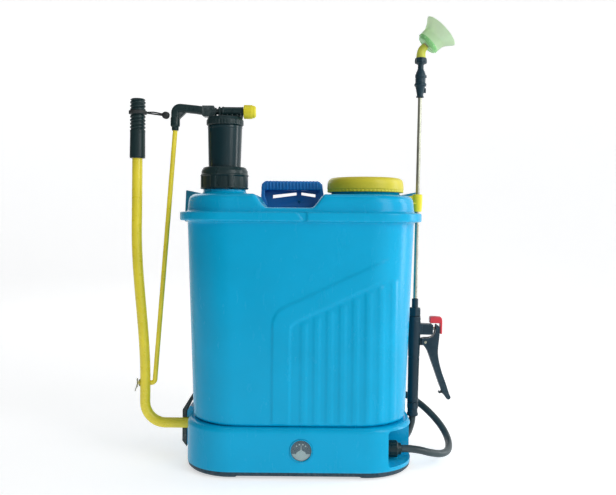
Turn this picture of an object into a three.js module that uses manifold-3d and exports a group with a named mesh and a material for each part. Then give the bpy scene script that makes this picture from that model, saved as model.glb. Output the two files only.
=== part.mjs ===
// A backpack sprayer: tank, base, hand pump with its lever, lance with trigger valve, harness and hose.
// Units are millimetres, +Z is up, -Y is the outer face of the tank and +Y the wearer's side.
// The origin is the middle of the base's underside.

import * as THREE from 'three';
import { mergeVertices } from 'three/addons/utils/BufferGeometryUtils.js';
import Module from 'manifold-3d';

const wasm = await Module();
wasm.setup();

// ---- driving dimensions ----

const GAP = 0.3;                 // air between pieces that touch on the real object
const WALL = 3;                  // moulded wall

const tank = {
  footWidth: 169, topWidth: 181, rimWidth: 192, earWidth: 205,    // half widths
  front: -100, back: 99, rimFront: -107,
  bottom: 77, rimLow: 387, rimHigh: 401, shoulder: 429, ear: 440,
  frontRadius: 74, backRadius: 24,
};
const recess = { left: -62, right: 27, floor: 408, wideLeft: -71, wideRight: 40, wideFront: 14, wideBack: 90 };
const skirt = { width: 177, front: -105, back: 101, low: 10.3, shoulder: 68, high: 76.7 };
const pump = {
  x: -126, neckRadius: 34.4, neckTop: 438, tubeRadius: 31, tubeBore: 29.6, tubeFoot: 96,
  chamberRadius: 28.5, chamberLow: 200, chamberHigh: 542, capHigh: 556.3, pivotZ: 565.5,
};
const filler = { x: 105, neckRadius: 55, bore: 50, neckTop: 449, lidRadius: 62.4, lidLow: 434.5, lidHigh: 458.5 };
const lever = { axleZ: 55, radius: 8.5, bend: 34, footX: -253.2, topX: -269.4, pinZ: 120 };
const grip = { low: 488, high: 586, radius: 12 };
const link = { topX: -207.8, ferruleLow: 534, rodRadius: 4, footX: -237.2, bend: 6, hookEnd: -244.3 };
const handle = { left: -66, right: 36, y: 62, pivotZ: 418, low: 440, high: 453, halfDepth: 8 };
const wand = { x: 191, y: 45, lean: 0.0155, gripLow: 81.3, gripHigh: 227, tubeRadius: 3.5 };
const trigger = { x: 18, z: 184, pinRadius: 2.5, stemZ: 207 };
const shroud = { x: 8, z: 688, tilt: Math.PI / 4, length: 36, foot: 17.5, waist: 20.5, mouth: 33 };
const hose = { radius: 5.75, sides: 10 };
const outlet = { wallX: 136, x: 161, y: -50, z: 31, radius: 13 };
const coil = { x: 34, y: 170, radius: 58, halfWidth: 6.3, height: 31.5 };
const gauge = { x: 4, z: 43.3, holeRadius: 18 };

// ---- colours ----

const plastic = (color, roughness = 0.4) => new THREE.MeshStandardMaterial({ color, roughness, metalness: 0 });
const metal = (color, roughness = 0.35) => new THREE.MeshStandardMaterial({ color, roughness, metalness: 0.9 });
const look = {
  blue: plastic(0x0099cc), darkBlue: plastic(0x0a5fa0), black: plastic(0x1a2e2e), tray: plastic(0x0a3c4e, 0.6),
  yellow: plastic(0xd8cc38), lid: plastic(0xd0c436), yellowPaint: plastic(0xe0d838, 0.3),
  navy: plastic(0x10303f), red: plastic(0xd83a46), green: plastic(0xa8dca8, 0.25), white: plastic(0xdfe6e4),
  rubber: plastic(0x1b2323, 0.8), hose: plastic(0x2a4045, 0.5), fabric: plastic(0x20262b, 0.95),
  steel: metal(0xb8bcbc), brass: metal(0xb08d3f), dial: plastic(0x506a7a), clear: plastic(0xcfe6ea, 0.1),
};
look.green.transparent = look.clear.transparent = true;
look.green.opacity = 0.6;
look.clear.opacity = 0.35;

// ---- solids ----

function facingOut(geometry) {
  const plain = geometry.index ? geometry : mergeVertices(geometry);
  const at = plain.attributes.position;
  const index = plain.index.array;
  const [a, b, c] = [new THREE.Vector3(), new THREE.Vector3(), new THREE.Vector3()];
  let volume = 0;
  for (let i = 0; i < index.length; i += 3) {
    a.fromBufferAttribute(at, index[i]);
    b.fromBufferAttribute(at, index[i + 1]);
    c.fromBufferAttribute(at, index[i + 2]);
    volume += a.dot(b.cross(c));
  }
  if (volume < 0) index.reverse();
  return plain;
}

function welded(geometry) {
  const bare = geometry.clone();
  for (const name of Object.keys(bare.attributes)) {
    if (name !== 'position') bare.deleteAttribute(name);
  }
  return facingOut(mergeVertices(bare, 1e-4));
}

function toSolid(geometry) {
  const closed = welded(geometry);
  return new wasm.Manifold(new wasm.Mesh({
    numProp: 3,
    vertProperties: Float32Array.from(closed.attributes.position.array),
    triVerts: Uint32Array.from(closed.index.array),
  }));
}

function fromSolid(solid) {
  const mesh = solid.getMesh();
  const geometry = new THREE.BufferGeometry();
  geometry.setAttribute('position', new THREE.BufferAttribute(Float32Array.from(mesh.vertProperties), 3));
  geometry.setIndex(new THREE.BufferAttribute(Uint32Array.from(mesh.triVerts), 1));
  return geometry;
}

const join = (first, ...rest) => fromSolid(rest.reduce((sum, g) => sum.add(toSolid(g)), toSolid(first)));
const cut = (first, ...rest) => fromSolid(rest.reduce((sum, g) => sum.subtract(toSolid(g)), toSolid(first)));

function block([x0, x1], [y0, y1], [z0, z1]) {
  const box = new THREE.BoxGeometry(x1 - x0, y1 - y0, z1 - z0);
  return box.translate((x0 + x1) / 2, (y0 + y1) / 2, (z0 + z1) / 2);
}

// A solid of revolution about +Z. The profile is [radius, z] pairs; ring closes a profile clear of the axis.
function turned(profile, { sides = 24, ring = false } = {}) {
  const points = profile.map(([r, z]) => new THREE.Vector2(r, z));
  if (ring) points.push(points[0].clone());
  return welded(new THREE.LatheGeometry(points, sides).rotateX(Math.PI / 2));
}

const rod = (radius, low, high, sides = 20) =>
  turned([[0, low], [radius, low], [radius, high], [0, high]], { sides });
const alongX = (geometry) => geometry.rotateY(Math.PI / 2);
const alongFront = (geometry) => geometry.rotateX(Math.PI / 2);

// An outline in X and Z, extruded from y0 to y1.
function plate(outline, y0, y1) {
  const shape = new THREE.Shape(outline.map(([x, z]) => new THREE.Vector2(x, z)));
  const body = new THREE.ExtrudeGeometry(shape, { depth: y1 - y0, bevelEnabled: false, curveSegments: 8 });
  return body.rotateX(Math.PI / 2).translate(0, y1, 0);
}

function polygon(radius, sides) {
  const corners = [];
  for (let i = 0; i < sides; i += 1) {
    const angle = (i / sides) * 2 * Math.PI;
    corners.push(new THREE.Vector2(radius * Math.cos(angle), radius * Math.sin(angle)));
  }
  return corners;
}

// A round bar along a smooth curve; a bore makes it a pipe, open at both ends.
function tube(points, radius, { sides = 12, steps = 24, bore = 0 } = {}) {
  const path = new THREE.CatmullRomCurve3(points.map((p) => new THREE.Vector3(...p)), false, 'catmullrom');
  path.arcLengthDivisions = 400;
  const section = new THREE.Shape(polygon(radius, sides));
  if (bore) section.holes.push(new THREE.Path(polygon(bore, sides)));
  return new THREE.ExtrudeGeometry(section, { steps, bevelEnabled: false, extrudePath: path });
}

// A flat band that follows points in Y and Z, with its width along X.
function band(points, x, width, thickness) {
  const half = thickness / 2;
  const edge = (side) => points.map(([y, z], i) => {
    const [y0, z0] = points[Math.max(i - 1, 0)];
    const [y1, z1] = points[Math.min(i + 1, points.length - 1)];
    const run = Math.hypot(y1 - y0, z1 - z0);
    return new THREE.Vector2(y - side * half * (z1 - z0) / run, z + side * half * (y1 - y0) / run);
  });
  const shape = new THREE.Shape([...edge(1), ...edge(-1).reverse()]);
  const body = new THREE.ExtrudeGeometry(shape, { depth: width, bevelEnabled: false });
  const turn = new THREE.Matrix4().set(0, 0, 1, x - width / 2, 1, 0, 0, 0, 0, 1, 0, 0, 0, 0, 0, 1);
  return body.applyMatrix4(turn);
}

// The plan of the tank: wide round corners on the outer side, tighter ones on the wearer's side.
function plan(halfWidth, front, back, frontRadius, backRadius, corner = 7) {
  const outline = [];
  const arc = (cx, cy, radius, from, steps) => {
    for (let i = 0; i <= steps; i += 1) {
      const angle = from + (i / steps) * Math.PI / 2;
      outline.push([cx + radius * Math.cos(angle), cy + radius * Math.sin(angle)]);
    }
  };
  arc(halfWidth - frontRadius, front + frontRadius, frontRadius, -Math.PI / 2, corner);
  arc(halfWidth - backRadius, back - backRadius, backRadius, 0, 3);
  arc(-halfWidth + backRadius, back - backRadius, backRadius, Math.PI / 2, 3);
  arc(-halfWidth + frontRadius, front + frontRadius, frontRadius, Math.PI, corner);
  return outline;
}

// A closed skin through plans of the same number of points, each at its own height.
function loft(levels) {
  const count = levels[0].outline.length;
  const position = levels.flatMap(({ z, outline }) => outline.flatMap(([x, y]) => [x, y, z]));
  const index = [];
  for (let level = 0; level + 1 < levels.length; level += 1) {
    for (let i = 0; i < count; i += 1) {
      const a = level * count + i;
      const b = level * count + (i + 1) % count;
      index.push(a, b, b + count, a, b + count, a + count);
    }
  }
  const flat = levels[0].outline.map(([x, y]) => new THREE.Vector2(x, y));
  const top = (levels.length - 1) * count;
  for (const [a, b, c] of THREE.ShapeUtils.triangulateShape(flat, [])) {
    index.push(c, b, a, top + a, top + b, top + c);
  }
  const geometry = new THREE.BufferGeometry();
  geometry.setAttribute('position', new THREE.Float32BufferAttribute(position, 3));
  geometry.setIndex(index);
  return geometry;
}

const sprayer = new THREE.Group();

function piece(name, geometry, material, parent = sprayer) {
  const mesh = new THREE.Mesh(welded(geometry), material);
  mesh.name = name;
  parent.add(mesh);
  return mesh;
}

// ---- tank ----

function tankLevels(inset) {
  const level = (z, width, front, back = tank.back) => ({
    z,
    outline: plan(width - inset, front + inset, back - inset, tank.frontRadius - inset, tank.backRadius - inset),
  });
  const shoulders = [
    level(tank.shoulder - 8 - inset, tank.topWidth - 3, tank.front + 3, tank.back - 2),
    level(tank.shoulder - inset, tank.topWidth - 12, tank.front + 13, tank.back - 8),
  ];
  const foot = level(tank.bottom + inset, tank.footWidth, tank.front + 3, tank.back - 3);
  if (inset) return [foot, level(tank.rimLow, tank.topWidth, tank.front), ...shoulders];
  return [
    foot,
    level(tank.rimLow, tank.topWidth, tank.front),
    level(tank.rimLow, tank.rimWidth, tank.rimFront),
    level(tank.rimHigh, tank.rimWidth, tank.rimFront),
    level(tank.rimHigh, tank.topWidth, tank.front),
    ...shoulders,
  ];
}

function recessCut(margin) {
  const top = tank.shoulder + 40;
  const low = recess.floor - margin;
  return join(
    block([recess.left - margin, recess.right + margin], [-150, recess.wideBack + margin], [low, top]),
    block([recess.wideLeft - margin, recess.wideRight + margin],
      [recess.wideFront - margin, recess.wideBack + margin], [low, top]),
  );
}

function backWall() {
  const { earWidth, ear, rimLow } = tank;
  const dip = 424;
  const outline = [
    [-earWidth - 2, rimLow], [earWidth + 2, rimLow], [earWidth, ear], [earWidth - 30, ear - 6], [60, ear - 7],
    [recess.right + 8, dip], [recess.left - 8, dip], [-95, ear - 7], [-earWidth + 30, ear - 6], [-earWidth, ear],
  ];
  return plate(outline, tank.back - 6, tank.back + 3);
}

function reliefPanel() {
  const outline = [
    [-14, 90], [118, 90], [124, 320], [104, 309], [60, 296], [12, 283], [-8, 262], [-14, 235],
  ];
  return plate(outline, tank.front - 1.2, tank.front + 20);
}

function tankShell() {
  const necks = join(
    rod(pump.neckRadius, tank.shoulder - 10, pump.neckTop).translate(pump.x, 0, 0),
    rod(filler.neckRadius, tank.shoulder - 10, filler.neckTop, 32).translate(filler.x, 0, 0),
  );
  const outside = cut(join(loft(tankLevels(0)), reliefPanel()), recessCut(0));
  const inside = cut(loft(tankLevels(WALL)), recessCut(WALL));
  const bores = join(
    rod(pump.tubeRadius + 0.4, tank.bottom + 40, pump.neckTop + 1).translate(pump.x, 0, 0),
    rod(filler.bore, tank.rimHigh, filler.neckTop + 1, 32).translate(filler.x, 0, 0),
  );
  return cut(join(outside, necks, backWall()), inside, bores);
}

piece('tank_shell', tankShell(), look.blue);

// ---- base ----

function outletNotch(margin) {
  return block([outlet.wallX - margin, 300], [-200, -20 + margin], [16 - margin, 70 + margin]);
}

function skirtShell() {
  const level = (z, width, front, inset) => ({
    z, outline: plan(width - inset, front + inset, skirt.back - inset, 75 - inset, 24 - inset),
  });
  const levels = (inset, low, high) => [
    level(low, skirt.width, skirt.front, inset),
    level(skirt.shoulder, skirt.width, skirt.front, inset),
    level(high, skirt.width - 6, skirt.front + 6, inset),
  ];
  const outside = cut(loft(levels(0, skirt.low, skirt.high)), outletNotch(0));
  const inside = cut(loft(levels(WALL, skirt.low - 1, skirt.high - WALL)), outletNotch(WALL));
  return cut(outside, inside,
    alongFront(rod(gauge.holeRadius, 60, 130)).translate(gauge.x, 0, gauge.z),
    alongX(rod(lever.radius + GAP, -200, -160)).translate(0, 0, lever.axleZ),
    alongX(rod(8, outlet.wallX - 10, outlet.wallX + 10)).translate(0, outlet.y, outlet.z));
}

function trayShell() {
  const level = (z, width, front, back) => ({ z, outline: plan(width, front, back, 72, 22) });
  const body = loft([
    level(0, skirt.width - 10, skirt.front + 9, skirt.back - 8),
    level(5, skirt.width - 2, skirt.front + 2, skirt.back - 2),
    level(skirt.low - GAP, skirt.width, skirt.front, skirt.back),
  ]);
  const arch = 95;
  const archHeight = 3.5;
  const pad = 35;
  return cut(body,
    block([-arch, arch], [-150, -pad], [-1, archHeight]),
    block([-arch, arch], [pad, 150], [-1, archHeight]),
    block([-arch, -pad], [-pad - 1, pad + 1], [-1, archHeight]),
    block([pad, arch], [-pad - 1, pad + 1], [-1, archHeight]));
}

piece('base_skirt', skirtShell(), look.blue);
piece('base_tray', trayShell(), look.tray);
piece('battery', block([-105, -5], [-10, 60], [skirt.low, 62]), look.black);
piece('electric_pump', join(
  alongX(rod(18, 20, 72, 20)).translate(0, 40, 30),
  block([70, 100], [18, 62], [skirt.low, 52]),
), look.black);
piece('delivery_pipe', tube([
  [100 + GAP, 40, 32], [112, 40, 32], [122, 20, 31], [118, -20, 31], [115, -44, 31], [126, -50, 31],
  [outlet.wallX, outlet.y, outlet.z],
], 4, { sides: 8, steps: 16 }), look.hose);

// ---- battery gauge on the front of the base ----

const gaugeGroup = new THREE.Group();
gaugeGroup.position.set(gauge.x, skirt.front, gauge.z);
gaugeGroup.rotation.x = Math.PI / 2;      // the group's +Z points out of the front face
sprayer.add(gaugeGroup);

piece('gauge_bezel', turned([
  [0, -12], [17.6, -12], [17.6, 1.5], [15.5, 1.5], [15.5, -10], [0, -10],
], { sides: 28 }), look.darkBlue, gaugeGroup);
piece('gauge_dial', rod(15.1, -9.7, -8.5, 28), look.dial, gaugeGroup);
piece('gauge_needle', join(rod(1.8, -8.2, -7, 10), block([-0.6, 0.6], [-3, 10.5], [-8, -7.2])), look.red, gaugeGroup);
piece('gauge_lens', rod(15.1, -3, -1.5, 28), look.clear, gaugeGroup);

// ---- switch panel on the right side of the base, behind the lance ----

const sideX = skirt.width + GAP;
piece('switch_panel', cut(
  block([sideX, sideX + 3], [20, 78], [24, 60]),
  block([sideX - 1, sideX + 9], [52, 72], [34, 50]),
  alongX(rod(6.5, sideX - 1, sideX + 9)).translate(0, 35, 42),
), look.black);
piece('power_switch', plate([
  [sideX + 1.6, -9], [sideX + 1.6, 9], [sideX + 5.2, 9], [sideX + 4.2, 0], [sideX + 5.2, -9],
], -7, 7).rotateX(Math.PI / 2).translate(0, 62, 42), look.red);
piece('charge_cap', alongX(turned([
  [0, sideX + 1.8], [5.8, sideX + 1.8], [5.8, sideX + 3.3], [8, sideX + 3.3], [8, sideX + 5.3], [0, sideX + 5.3],
])).translate(0, 35, 42), look.rubber);

// ---- pump: tube and nut stay with the tank, chamber and piston slide ----

const pumpGroup = new THREE.Group();
pumpGroup.position.x = pump.x;
sprayer.add(pumpGroup);

const flangeLow = pump.neckTop + GAP;
piece('pump_cylinder', turned([
  [8, pump.tubeFoot], [pump.tubeRadius, pump.tubeFoot], [pump.tubeRadius, flangeLow], [34, flangeLow],
  [34, flangeLow + 3], [pump.tubeBore, flangeLow + 3], [pump.tubeBore, pump.tubeFoot + 4], [8, pump.tubeFoot + 4],
], { ring: true, sides: 24 }), look.white, pumpGroup);
piece('pump_valve', turned([
  [0, pump.tubeFoot - 8], [12, pump.tubeFoot - 8], [12, pump.tubeFoot - GAP], [0, pump.tubeFoot - GAP],
], { sides: 12 }), look.rubber, pumpGroup);
piece('pump_ring_nut', turned([
  [34.8, 438.3], [39.5, 438.3], [39.5, 464], [36, 474], [31, 474], [31, 471.5], [29.2, 471.5], [29.2, 466],
  [34.8, 460],
], { ring: true, sides: 24 }), look.black, pumpGroup);
piece('air_chamber', turned([
  [0, pump.chamberHigh], [pump.chamberRadius, pump.chamberHigh], [pump.chamberRadius, pump.chamberLow],
  [pump.chamberRadius - 3, pump.chamberLow], [pump.chamberRadius - 3, pump.chamberHigh - 6],
  [0, pump.chamberHigh - 6],
]), look.black, pumpGroup);
piece('piston', rod(27.5, 190, pump.chamberLow - GAP), look.white, pumpGroup);
piece('piston_cup', turned([
  [0, 184], [26, 184], [29.2, 180], [29.2, 184], [27, 190 - GAP], [0, 190 - GAP],
]), look.rubber, pumpGroup);

const lug = { left: -11, right: 29.5, halfDepth: 8.5 };
piece('chamber_cap', cut(
  join(
    rod(30.3, pump.chamberHigh + GAP, pump.capHigh),
    block([lug.left, lug.right], [-lug.halfDepth, lug.halfDepth], [pump.capHigh - 1, pump.pivotZ + lug.halfDepth]),
  ),
  alongX(rod(5.3, -40, 40)).translate(0, 0, pump.pivotZ),
), look.black, pumpGroup);

// ---- pump link: elbow arm, its nut and the pull rod ----

function elbowArm() {
  const hub = alongX(rod(8.5, -162, -139.5)).translate(0, 0, pump.pivotZ);
  const shaft = alongX(rod(5, -141, -80)).translate(0, 0, pump.pivotZ);
  const arm = tube([
    [-155, 0, 568], [-175, 0, 572], [-195, 0, 576], [-204, 0, 575], [link.topX, 0, 566], [link.topX, 0, 550],
  ], 6.5, { sides: 10, steps: 14 });
  const ferrule = rod(8, link.ferruleLow, 556).translate(link.topX, 0, 0);
  return join(hub, shaft, arm, ferrule);
}

piece('elbow_arm', elbowArm(), look.black);
piece('arm_nut', alongX(turned([
  [0, -75.5], [10, -75.5], [11.5, -77.5], [11.5, -95.2], [5.3, -95.2], [5.3, -79.5], [0, -79.5],
])).translate(0, 0, pump.pivotZ), look.yellow);

// A straight bar, with its foot bent into the short hook that enters the lever.
function linkRod() {
  const { topX, footX, ferruleLow, rodRadius, bend, hookEnd } = link;
  const bendTop = lever.pinZ + bend;
  const [run, rise] = [topX - footX, ferruleLow - GAP - bendTop];
  const straight = rod(rodRadius, 0, Math.hypot(run, rise), 12).rotateY(Math.atan2(run, rise));
  const bendSteps = 4;
  const route = [[footX, 0, bendTop + 2]];
  for (let i = 0; i <= bendSteps; i += 1) {
    const angle = (i / bendSteps) * Math.PI / 2;
    route.push([footX - bend * (1 - Math.cos(angle)), 0, bendTop - bend * Math.sin(angle)]);
  }
  const hook = tube([...route, [hookEnd, 0, lever.pinZ]], rodRadius, { sides: 12, steps: 8 });
  return join(straight.translate(footX, 0, bendTop), hook);
}

piece('link_rod', linkRod(), look.yellowPaint);

// ---- lever ----

function leverRoute() {
  const route = [[-160, 0, lever.axleZ], [-190, 0, lever.axleZ]];
  const centre = [lever.footX + lever.bend, lever.axleZ + lever.bend];
  const bendSteps = 6;
  for (let i = 0; i <= bendSteps; i += 1) {
    const angle = (i / bendSteps) * Math.PI / 2;
    route.push([centre[0] - lever.bend * Math.sin(angle), 0, centre[1] - lever.bend * Math.cos(angle)]);
  }
  return [...route,
    [lever.footX, 0, 110], [lever.footX, 0, 132], [-255, 0, 170], [-258.8, 0, 215], [-264.5, 0, 270],
    [-268.6, 0, 320], [lever.topX, 0, 370], [lever.topX, 0, 440], [lever.topX, 0, grip.high - 6]];
}

const pinHole = alongX(rod(link.rodRadius + 0.3, -275, -235, 12)).translate(0, 0, lever.pinZ);
piece('lever_tube', cut(
  tube(leverRoute(), lever.radius, { sides: 12, steps: 34, bore: lever.radius - 1.6 }),
  pinHole,
), look.yellowPaint);
piece('lever_grip', turned([
  [0, grip.high - 5], [lever.radius + GAP, grip.high - 5], [lever.radius + GAP, grip.low],
  [grip.radius, grip.low], [grip.radius, grip.high - 2], [10, grip.high], [0, grip.high],
], { sides: 20 }).translate(lever.topX, 0, 0), look.black);
piece('link_pin', join(
  alongX(rod(link.rodRadius, -268, link.hookEnd - GAP, 12)),
  alongX(rod(7, -264.5, -262.5, 12)),
).translate(0, 0, lever.pinZ), look.steel);
piece('cotter_pin', tube([
  [-269.5, 0, 127], [-269.6, 0, 120], [-270.5, 0, 112], [-273.5, 0, 104],
], 0.9, { sides: 6, steps: 6 }), look.steel);
piece('storage_strap', join(
  turned([[12.3, 560], [14.6, 560], [14.6, 566], [12.3, 566]], { ring: true, sides: 16 }).translate(lever.topX, 0, 0),
  tube([[lever.topX + 13.4, 0, 563], [-240, 0, 561.5], [-225, 0, 559.5]], 2, { sides: 8, steps: 4 }),
  new THREE.SphereGeometry(6.5, 12, 8).translate(-223.6, 0, 559),
), look.rubber);

function leverBracket() {
  const { width, shoulder, high } = skirt;
  const outline = [
    [-width - 0.5, 18], [-width - 0.5, shoulder + 1], [-width + 5.4, high + 1], [-tank.footWidth - 2.4, 107],
    [-192, 77], [-192, 24], [-188.5, 17], [-184, 15],
  ];
  const groove = alongX(rod(lever.radius + GAP, -220, -150)).translate(0, 0, lever.axleZ);
  return cut(plate(outline, 0, 26), groove);
}

piece('lever_bracket', leverBracket(), look.black);

// ---- filler lid and strainer ----

const fillerGroup = new THREE.Group();
fillerGroup.position.x = filler.x;
sprayer.add(fillerGroup);

const basketTop = filler.neckTop + GAP;
piece('filler_strainer', turned([
  [0, 372], [47, 372], [47, basketTop], [54.5, basketTop], [54.5, basketTop + 2], [45.4, basketTop + 2],
  [45.4, 374], [0, 374],
], { sides: 28 }), look.white, fillerGroup);
piece('lid_gasket', turned([
  [46, 451.6], [54.5, 451.6], [54.5, 453.7], [46, 453.7],
], { ring: true, sides: 28 }), look.rubber, fillerGroup);
piece('filler_lid', turned([
  [0, 454], [58, 454], [58, filler.lidLow], [61.6, filler.lidLow], [filler.lidRadius, 437],
  [filler.lidRadius, 451], [61, 456], [57, filler.lidHigh], [0, filler.lidHigh],
], { sides: 32 }), look.lid, fillerGroup);

// ---- carry handle ----

function carryHandle() {
  const { left, right, y, pivotZ, low, high, halfDepth } = handle;
  const legWidth = 6;
  const leg = (x) => block([x, x + legWidth], [y - 6, y + 6], [pivotZ - 6, high - 4]);
  const bar = plate([[left, low], [right, low], [right, low + 5], [right - 6, high], [left + 6, high], [left, low + 5]],
    y - halfDepth, y + halfDepth);
  const stub = (x0, x1) => alongX(rod(4, x0, x1, 12)).translate(0, y, pivotZ);
  return join(leg(left), leg(right - legWidth), bar,
    stub(recess.wideLeft + GAP, left + 2), stub(right - 2, recess.wideRight - GAP));
}

piece('carry_handle', carryHandle(), look.darkBlue);

// ---- lance: grip, trigger valve, tube and spray head, leaning as one ----

const wandGroup = new THREE.Group();
wandGroup.position.set(wand.x, wand.y, 0);
wandGroup.rotation.y = wand.lean;
sprayer.add(wandGroup);

const stemHole = alongX(rod(trigger.pinRadius + GAP, 12, 60, 12)).translate(0, 0, trigger.stemZ);
const pinBore = alongFront(rod(trigger.pinRadius + GAP, -30, 30, 12)).translate(trigger.x, 0, trigger.z);

piece('wand_bottom_nut', turned([[0, 58], [9, 58], [10, 61], [10, 79], [8.5, 81], [0, 81]], { sides: 12 }),
  look.navy, wandGroup);
piece('wand_grip', cut(join(
  turned([[0, wand.gripLow], [8.6, wand.gripLow], [9.3, 84], [10.4, 200], [10.4, 224], [9, wand.gripHigh],
    [0, wand.gripHigh]], { sides: 16 }),
  block([5, 31], [-8, 8], [196.5, 215]),
  block([5, 22], [-3, 3], [178, 190]),
), stemHole, pinBore), look.navy, wandGroup);
piece('wand_top_nut', turned([
  [0, 227.3], [10, 227.3], [10, 240], [8, 242], [5.4, 242.3], [5.4, 257], [0, 257],
], { sides: 12 }), look.navy, wandGroup);
piece('lance_tube', turned([
  [2.4, 257.3], [wand.tubeRadius, 257.3], [wand.tubeRadius, 598.7], [2.4, 598.7],
], { ring: true, sides: 10 }), look.steel, wandGroup);
piece('head_socket', turned([
  [0, 599], [6.5, 599], [6.5, 602], [4.6, 604], [6, 613], [10.2, 614], [10.2, 619], [8.4, 620], [8.4, 631], [0, 631],
], { sides: 14 }), look.black, wandGroup);
piece('swivel_nut', turned([
  [0, 631.3], [4.8, 631.3], [4.8, 651], [10.7, 653], [10.7, 662], [7, 666], [0, 666],
], { sides: 14 }), look.black, wandGroup);
piece('trigger_pin', alongFront(rod(trigger.pinRadius, -8.5, 8.5, 12)).translate(trigger.x, 0, trigger.z),
  look.steel, wandGroup);

function triggerLever() {
  const outline = [
    [12, 190], [12, 180], [20, 174], [46, 106], [58, 86], [64, 90], [50, 128], [39.5, 166], [42, 196], [41.6, 212],
    [35, 214.5], [33, 192], [26, 191],
  ];
  const body = plate(outline, -8, 8);
  const fork = block([5, 46], [-3.4, 3.4], [172, 230]);
  return cut(body, fork, pinBore);
}

piece('trigger', triggerLever(), look.navy, wandGroup);
piece('valve_stem', alongX(rod(trigger.pinRadius, 14, 42.2, 12)).translate(0, 0, trigger.stemZ),
  look.steel, wandGroup);
piece('valve_knob', plate([
  [25, 216], [42.6, 216], [42.6, 198], [46.5, 198], [46.5, 224], [44, 227.5], [26, 227.5], [25, 226],
], -7, 7), look.red, wandGroup);

// ---- spray head, which swivels on the lance ----

piece('nozzle_elbow', tube([
  [0, 0, 666.3], [0, 0, 674], [1.5, 0, 680.5], [shroud.x - 1.5, 0, shroud.z - 1.5],
], 6, { sides: 12, steps: 8 }), look.yellow, wandGroup);

const headGroup = new THREE.Group();
headGroup.position.set(shroud.x, 0, shroud.z);
headGroup.rotation.y = shroud.tilt;
wandGroup.add(headGroup);

piece('spray_shroud', turned([
  [5.6, 0], [shroud.foot, 0], [shroud.waist, 5], [shroud.waist + 0.5, 18], [26, 27], [shroud.mouth, shroud.length],
  [shroud.mouth - 1.8, shroud.length], [24.4, 28.5], [shroud.waist - 1.3, 19], [shroud.waist - 2, 6],
  [shroud.foot - 1, 2], [5.6, 2],
], { ring: true, sides: 24 }), look.green, headGroup);
piece('nozzle_tip', turned([[0, 0], [5.2, 0], [5.2, 8], [3.5, 12], [0, 12]], { sides: 12 }), look.brass, headGroup);

// ---- clip that holds the lance ----

function lanceClip() {
  const at = wand.x + wand.lean * 419;
  const ring = turned([[5, 404], [8.6, 404], [8.6, 434], [5, 434]], { ring: true, sides: 16 });
  const arm = block([tank.topWidth + 1 - at, -6], [-3, 3], [404, 420]);
  const mouth = block([-3.2, 20], [0, 20], [400, 440]);
  return cut(join(ring, arm), mouth).translate(at, wand.y, 0);
}

piece('lance_clip', lanceClip(), look.yellow);

// ---- harness on the wearer's side ----

piece('back_pad', block([-125, 125], [tank.back + 4, tank.back + 17], [140, 372]), look.fabric);

const padRoute = [[112, 410], [124, 392], [134, 360], [139, 310], [140, 260], [136, 214]];
const webRoute = [[134, 200], [131, 180], [124, 140], [117, 100], [113, 62]];
const sides = { left: -82, right: 82 };
for (const [side, x] of Object.entries(sides)) {
  piece(`shoulder_pad_${side}`, band(padRoute, x, 52, 9), look.fabric);
  piece(`strap_buckle_${side}`, block([x - 19, x + 19], [131, 139], [201.5, 212]), look.black);
  piece(`strap_web_${side}`, band(webRoute, x, 30, 2.6), look.fabric);
}
piece('strap_top_bar', block([-108, 108], [tank.back + 3 + GAP, tank.back + 7], [396, 422]), look.black);
piece('strap_lower_bar', block([-108, 108], [skirt.back + GAP, skirt.back + 9], [52, 66]), look.black);

// ---- hose: out of the base, round behind the lance, a coil behind the tank, and up into the grip ----

const outletNutEnd = outlet.x - GAP;
piece('hose_outlet_nut', alongX(turned([
  [0, outlet.wallX + GAP], [outlet.radius, outlet.wallX + GAP], [outlet.radius, 156], [9, 158],
  [9, outletNutEnd], [0, outletNutEnd],
], { sides: 12 })).translate(0, outlet.y, outlet.z), look.black);

const hoseOut = [
  [outlet.x + 0.4, -50, 31], [173, -50, 30.9], [190, -49.5, 28.8], [208, -45.5, 23.6], [225.5, -35, 18.8],
  [239, -18, 17.5], [246.3, 3.5, 20.8], [247, 26, 29], [241, 47, 40.5], [229, 66, 53.5], [213, 82, 66.5],
  [195, 95, 77], [177, 104.5, 83], [160, 109.5, 80.5], [145, 112.3, 71], [132.5, 114, 56.5], [121, 115, 41],
  [109, 115.3, 26.5], [95.5, 114.8, 14.8], [80, 113.2, 8.5],
];
const hoseBack = [
  [102, 142, 21.9], [109.2, 134.3, 19], [122, 127.3, 15], [137, 124.7, 11.2], [151, 123, 8.4], [163, 118, 6.8],
  [173, 108.5, 6.6], [179.5, 97.2, 7.6], [183.2, 84.8, 10.2], [185.1, 72.2, 15.6], [186.8, 61, 23.8],
  [188.8, 52.2, 34.5], [191, 46.2, 47], [191.9, 45, 56.8],
];
const hoseMaterial = look.hose;
piece('hose_out', tube(hoseOut, hose.radius, { sides: hose.sides, steps: 34 }), hoseMaterial);
piece('hose_back', tube(hoseBack, hose.radius, { sides: hose.sides, steps: 20 }), hoseMaterial);
piece('hose_coil', turned([
  [coil.radius - coil.halfWidth, 0.2], [coil.radius + coil.halfWidth, 0.2],
  [coil.radius + coil.halfWidth, coil.height], [coil.radius - coil.halfWidth, coil.height],
], { ring: true, sides: 28 }).translate(coil.x, coil.y, 0), hoseMaterial);

export default sprayer;
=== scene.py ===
import math

import bmesh
import bpy
import numpy as np
from mathutils import Matrix, Vector


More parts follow.
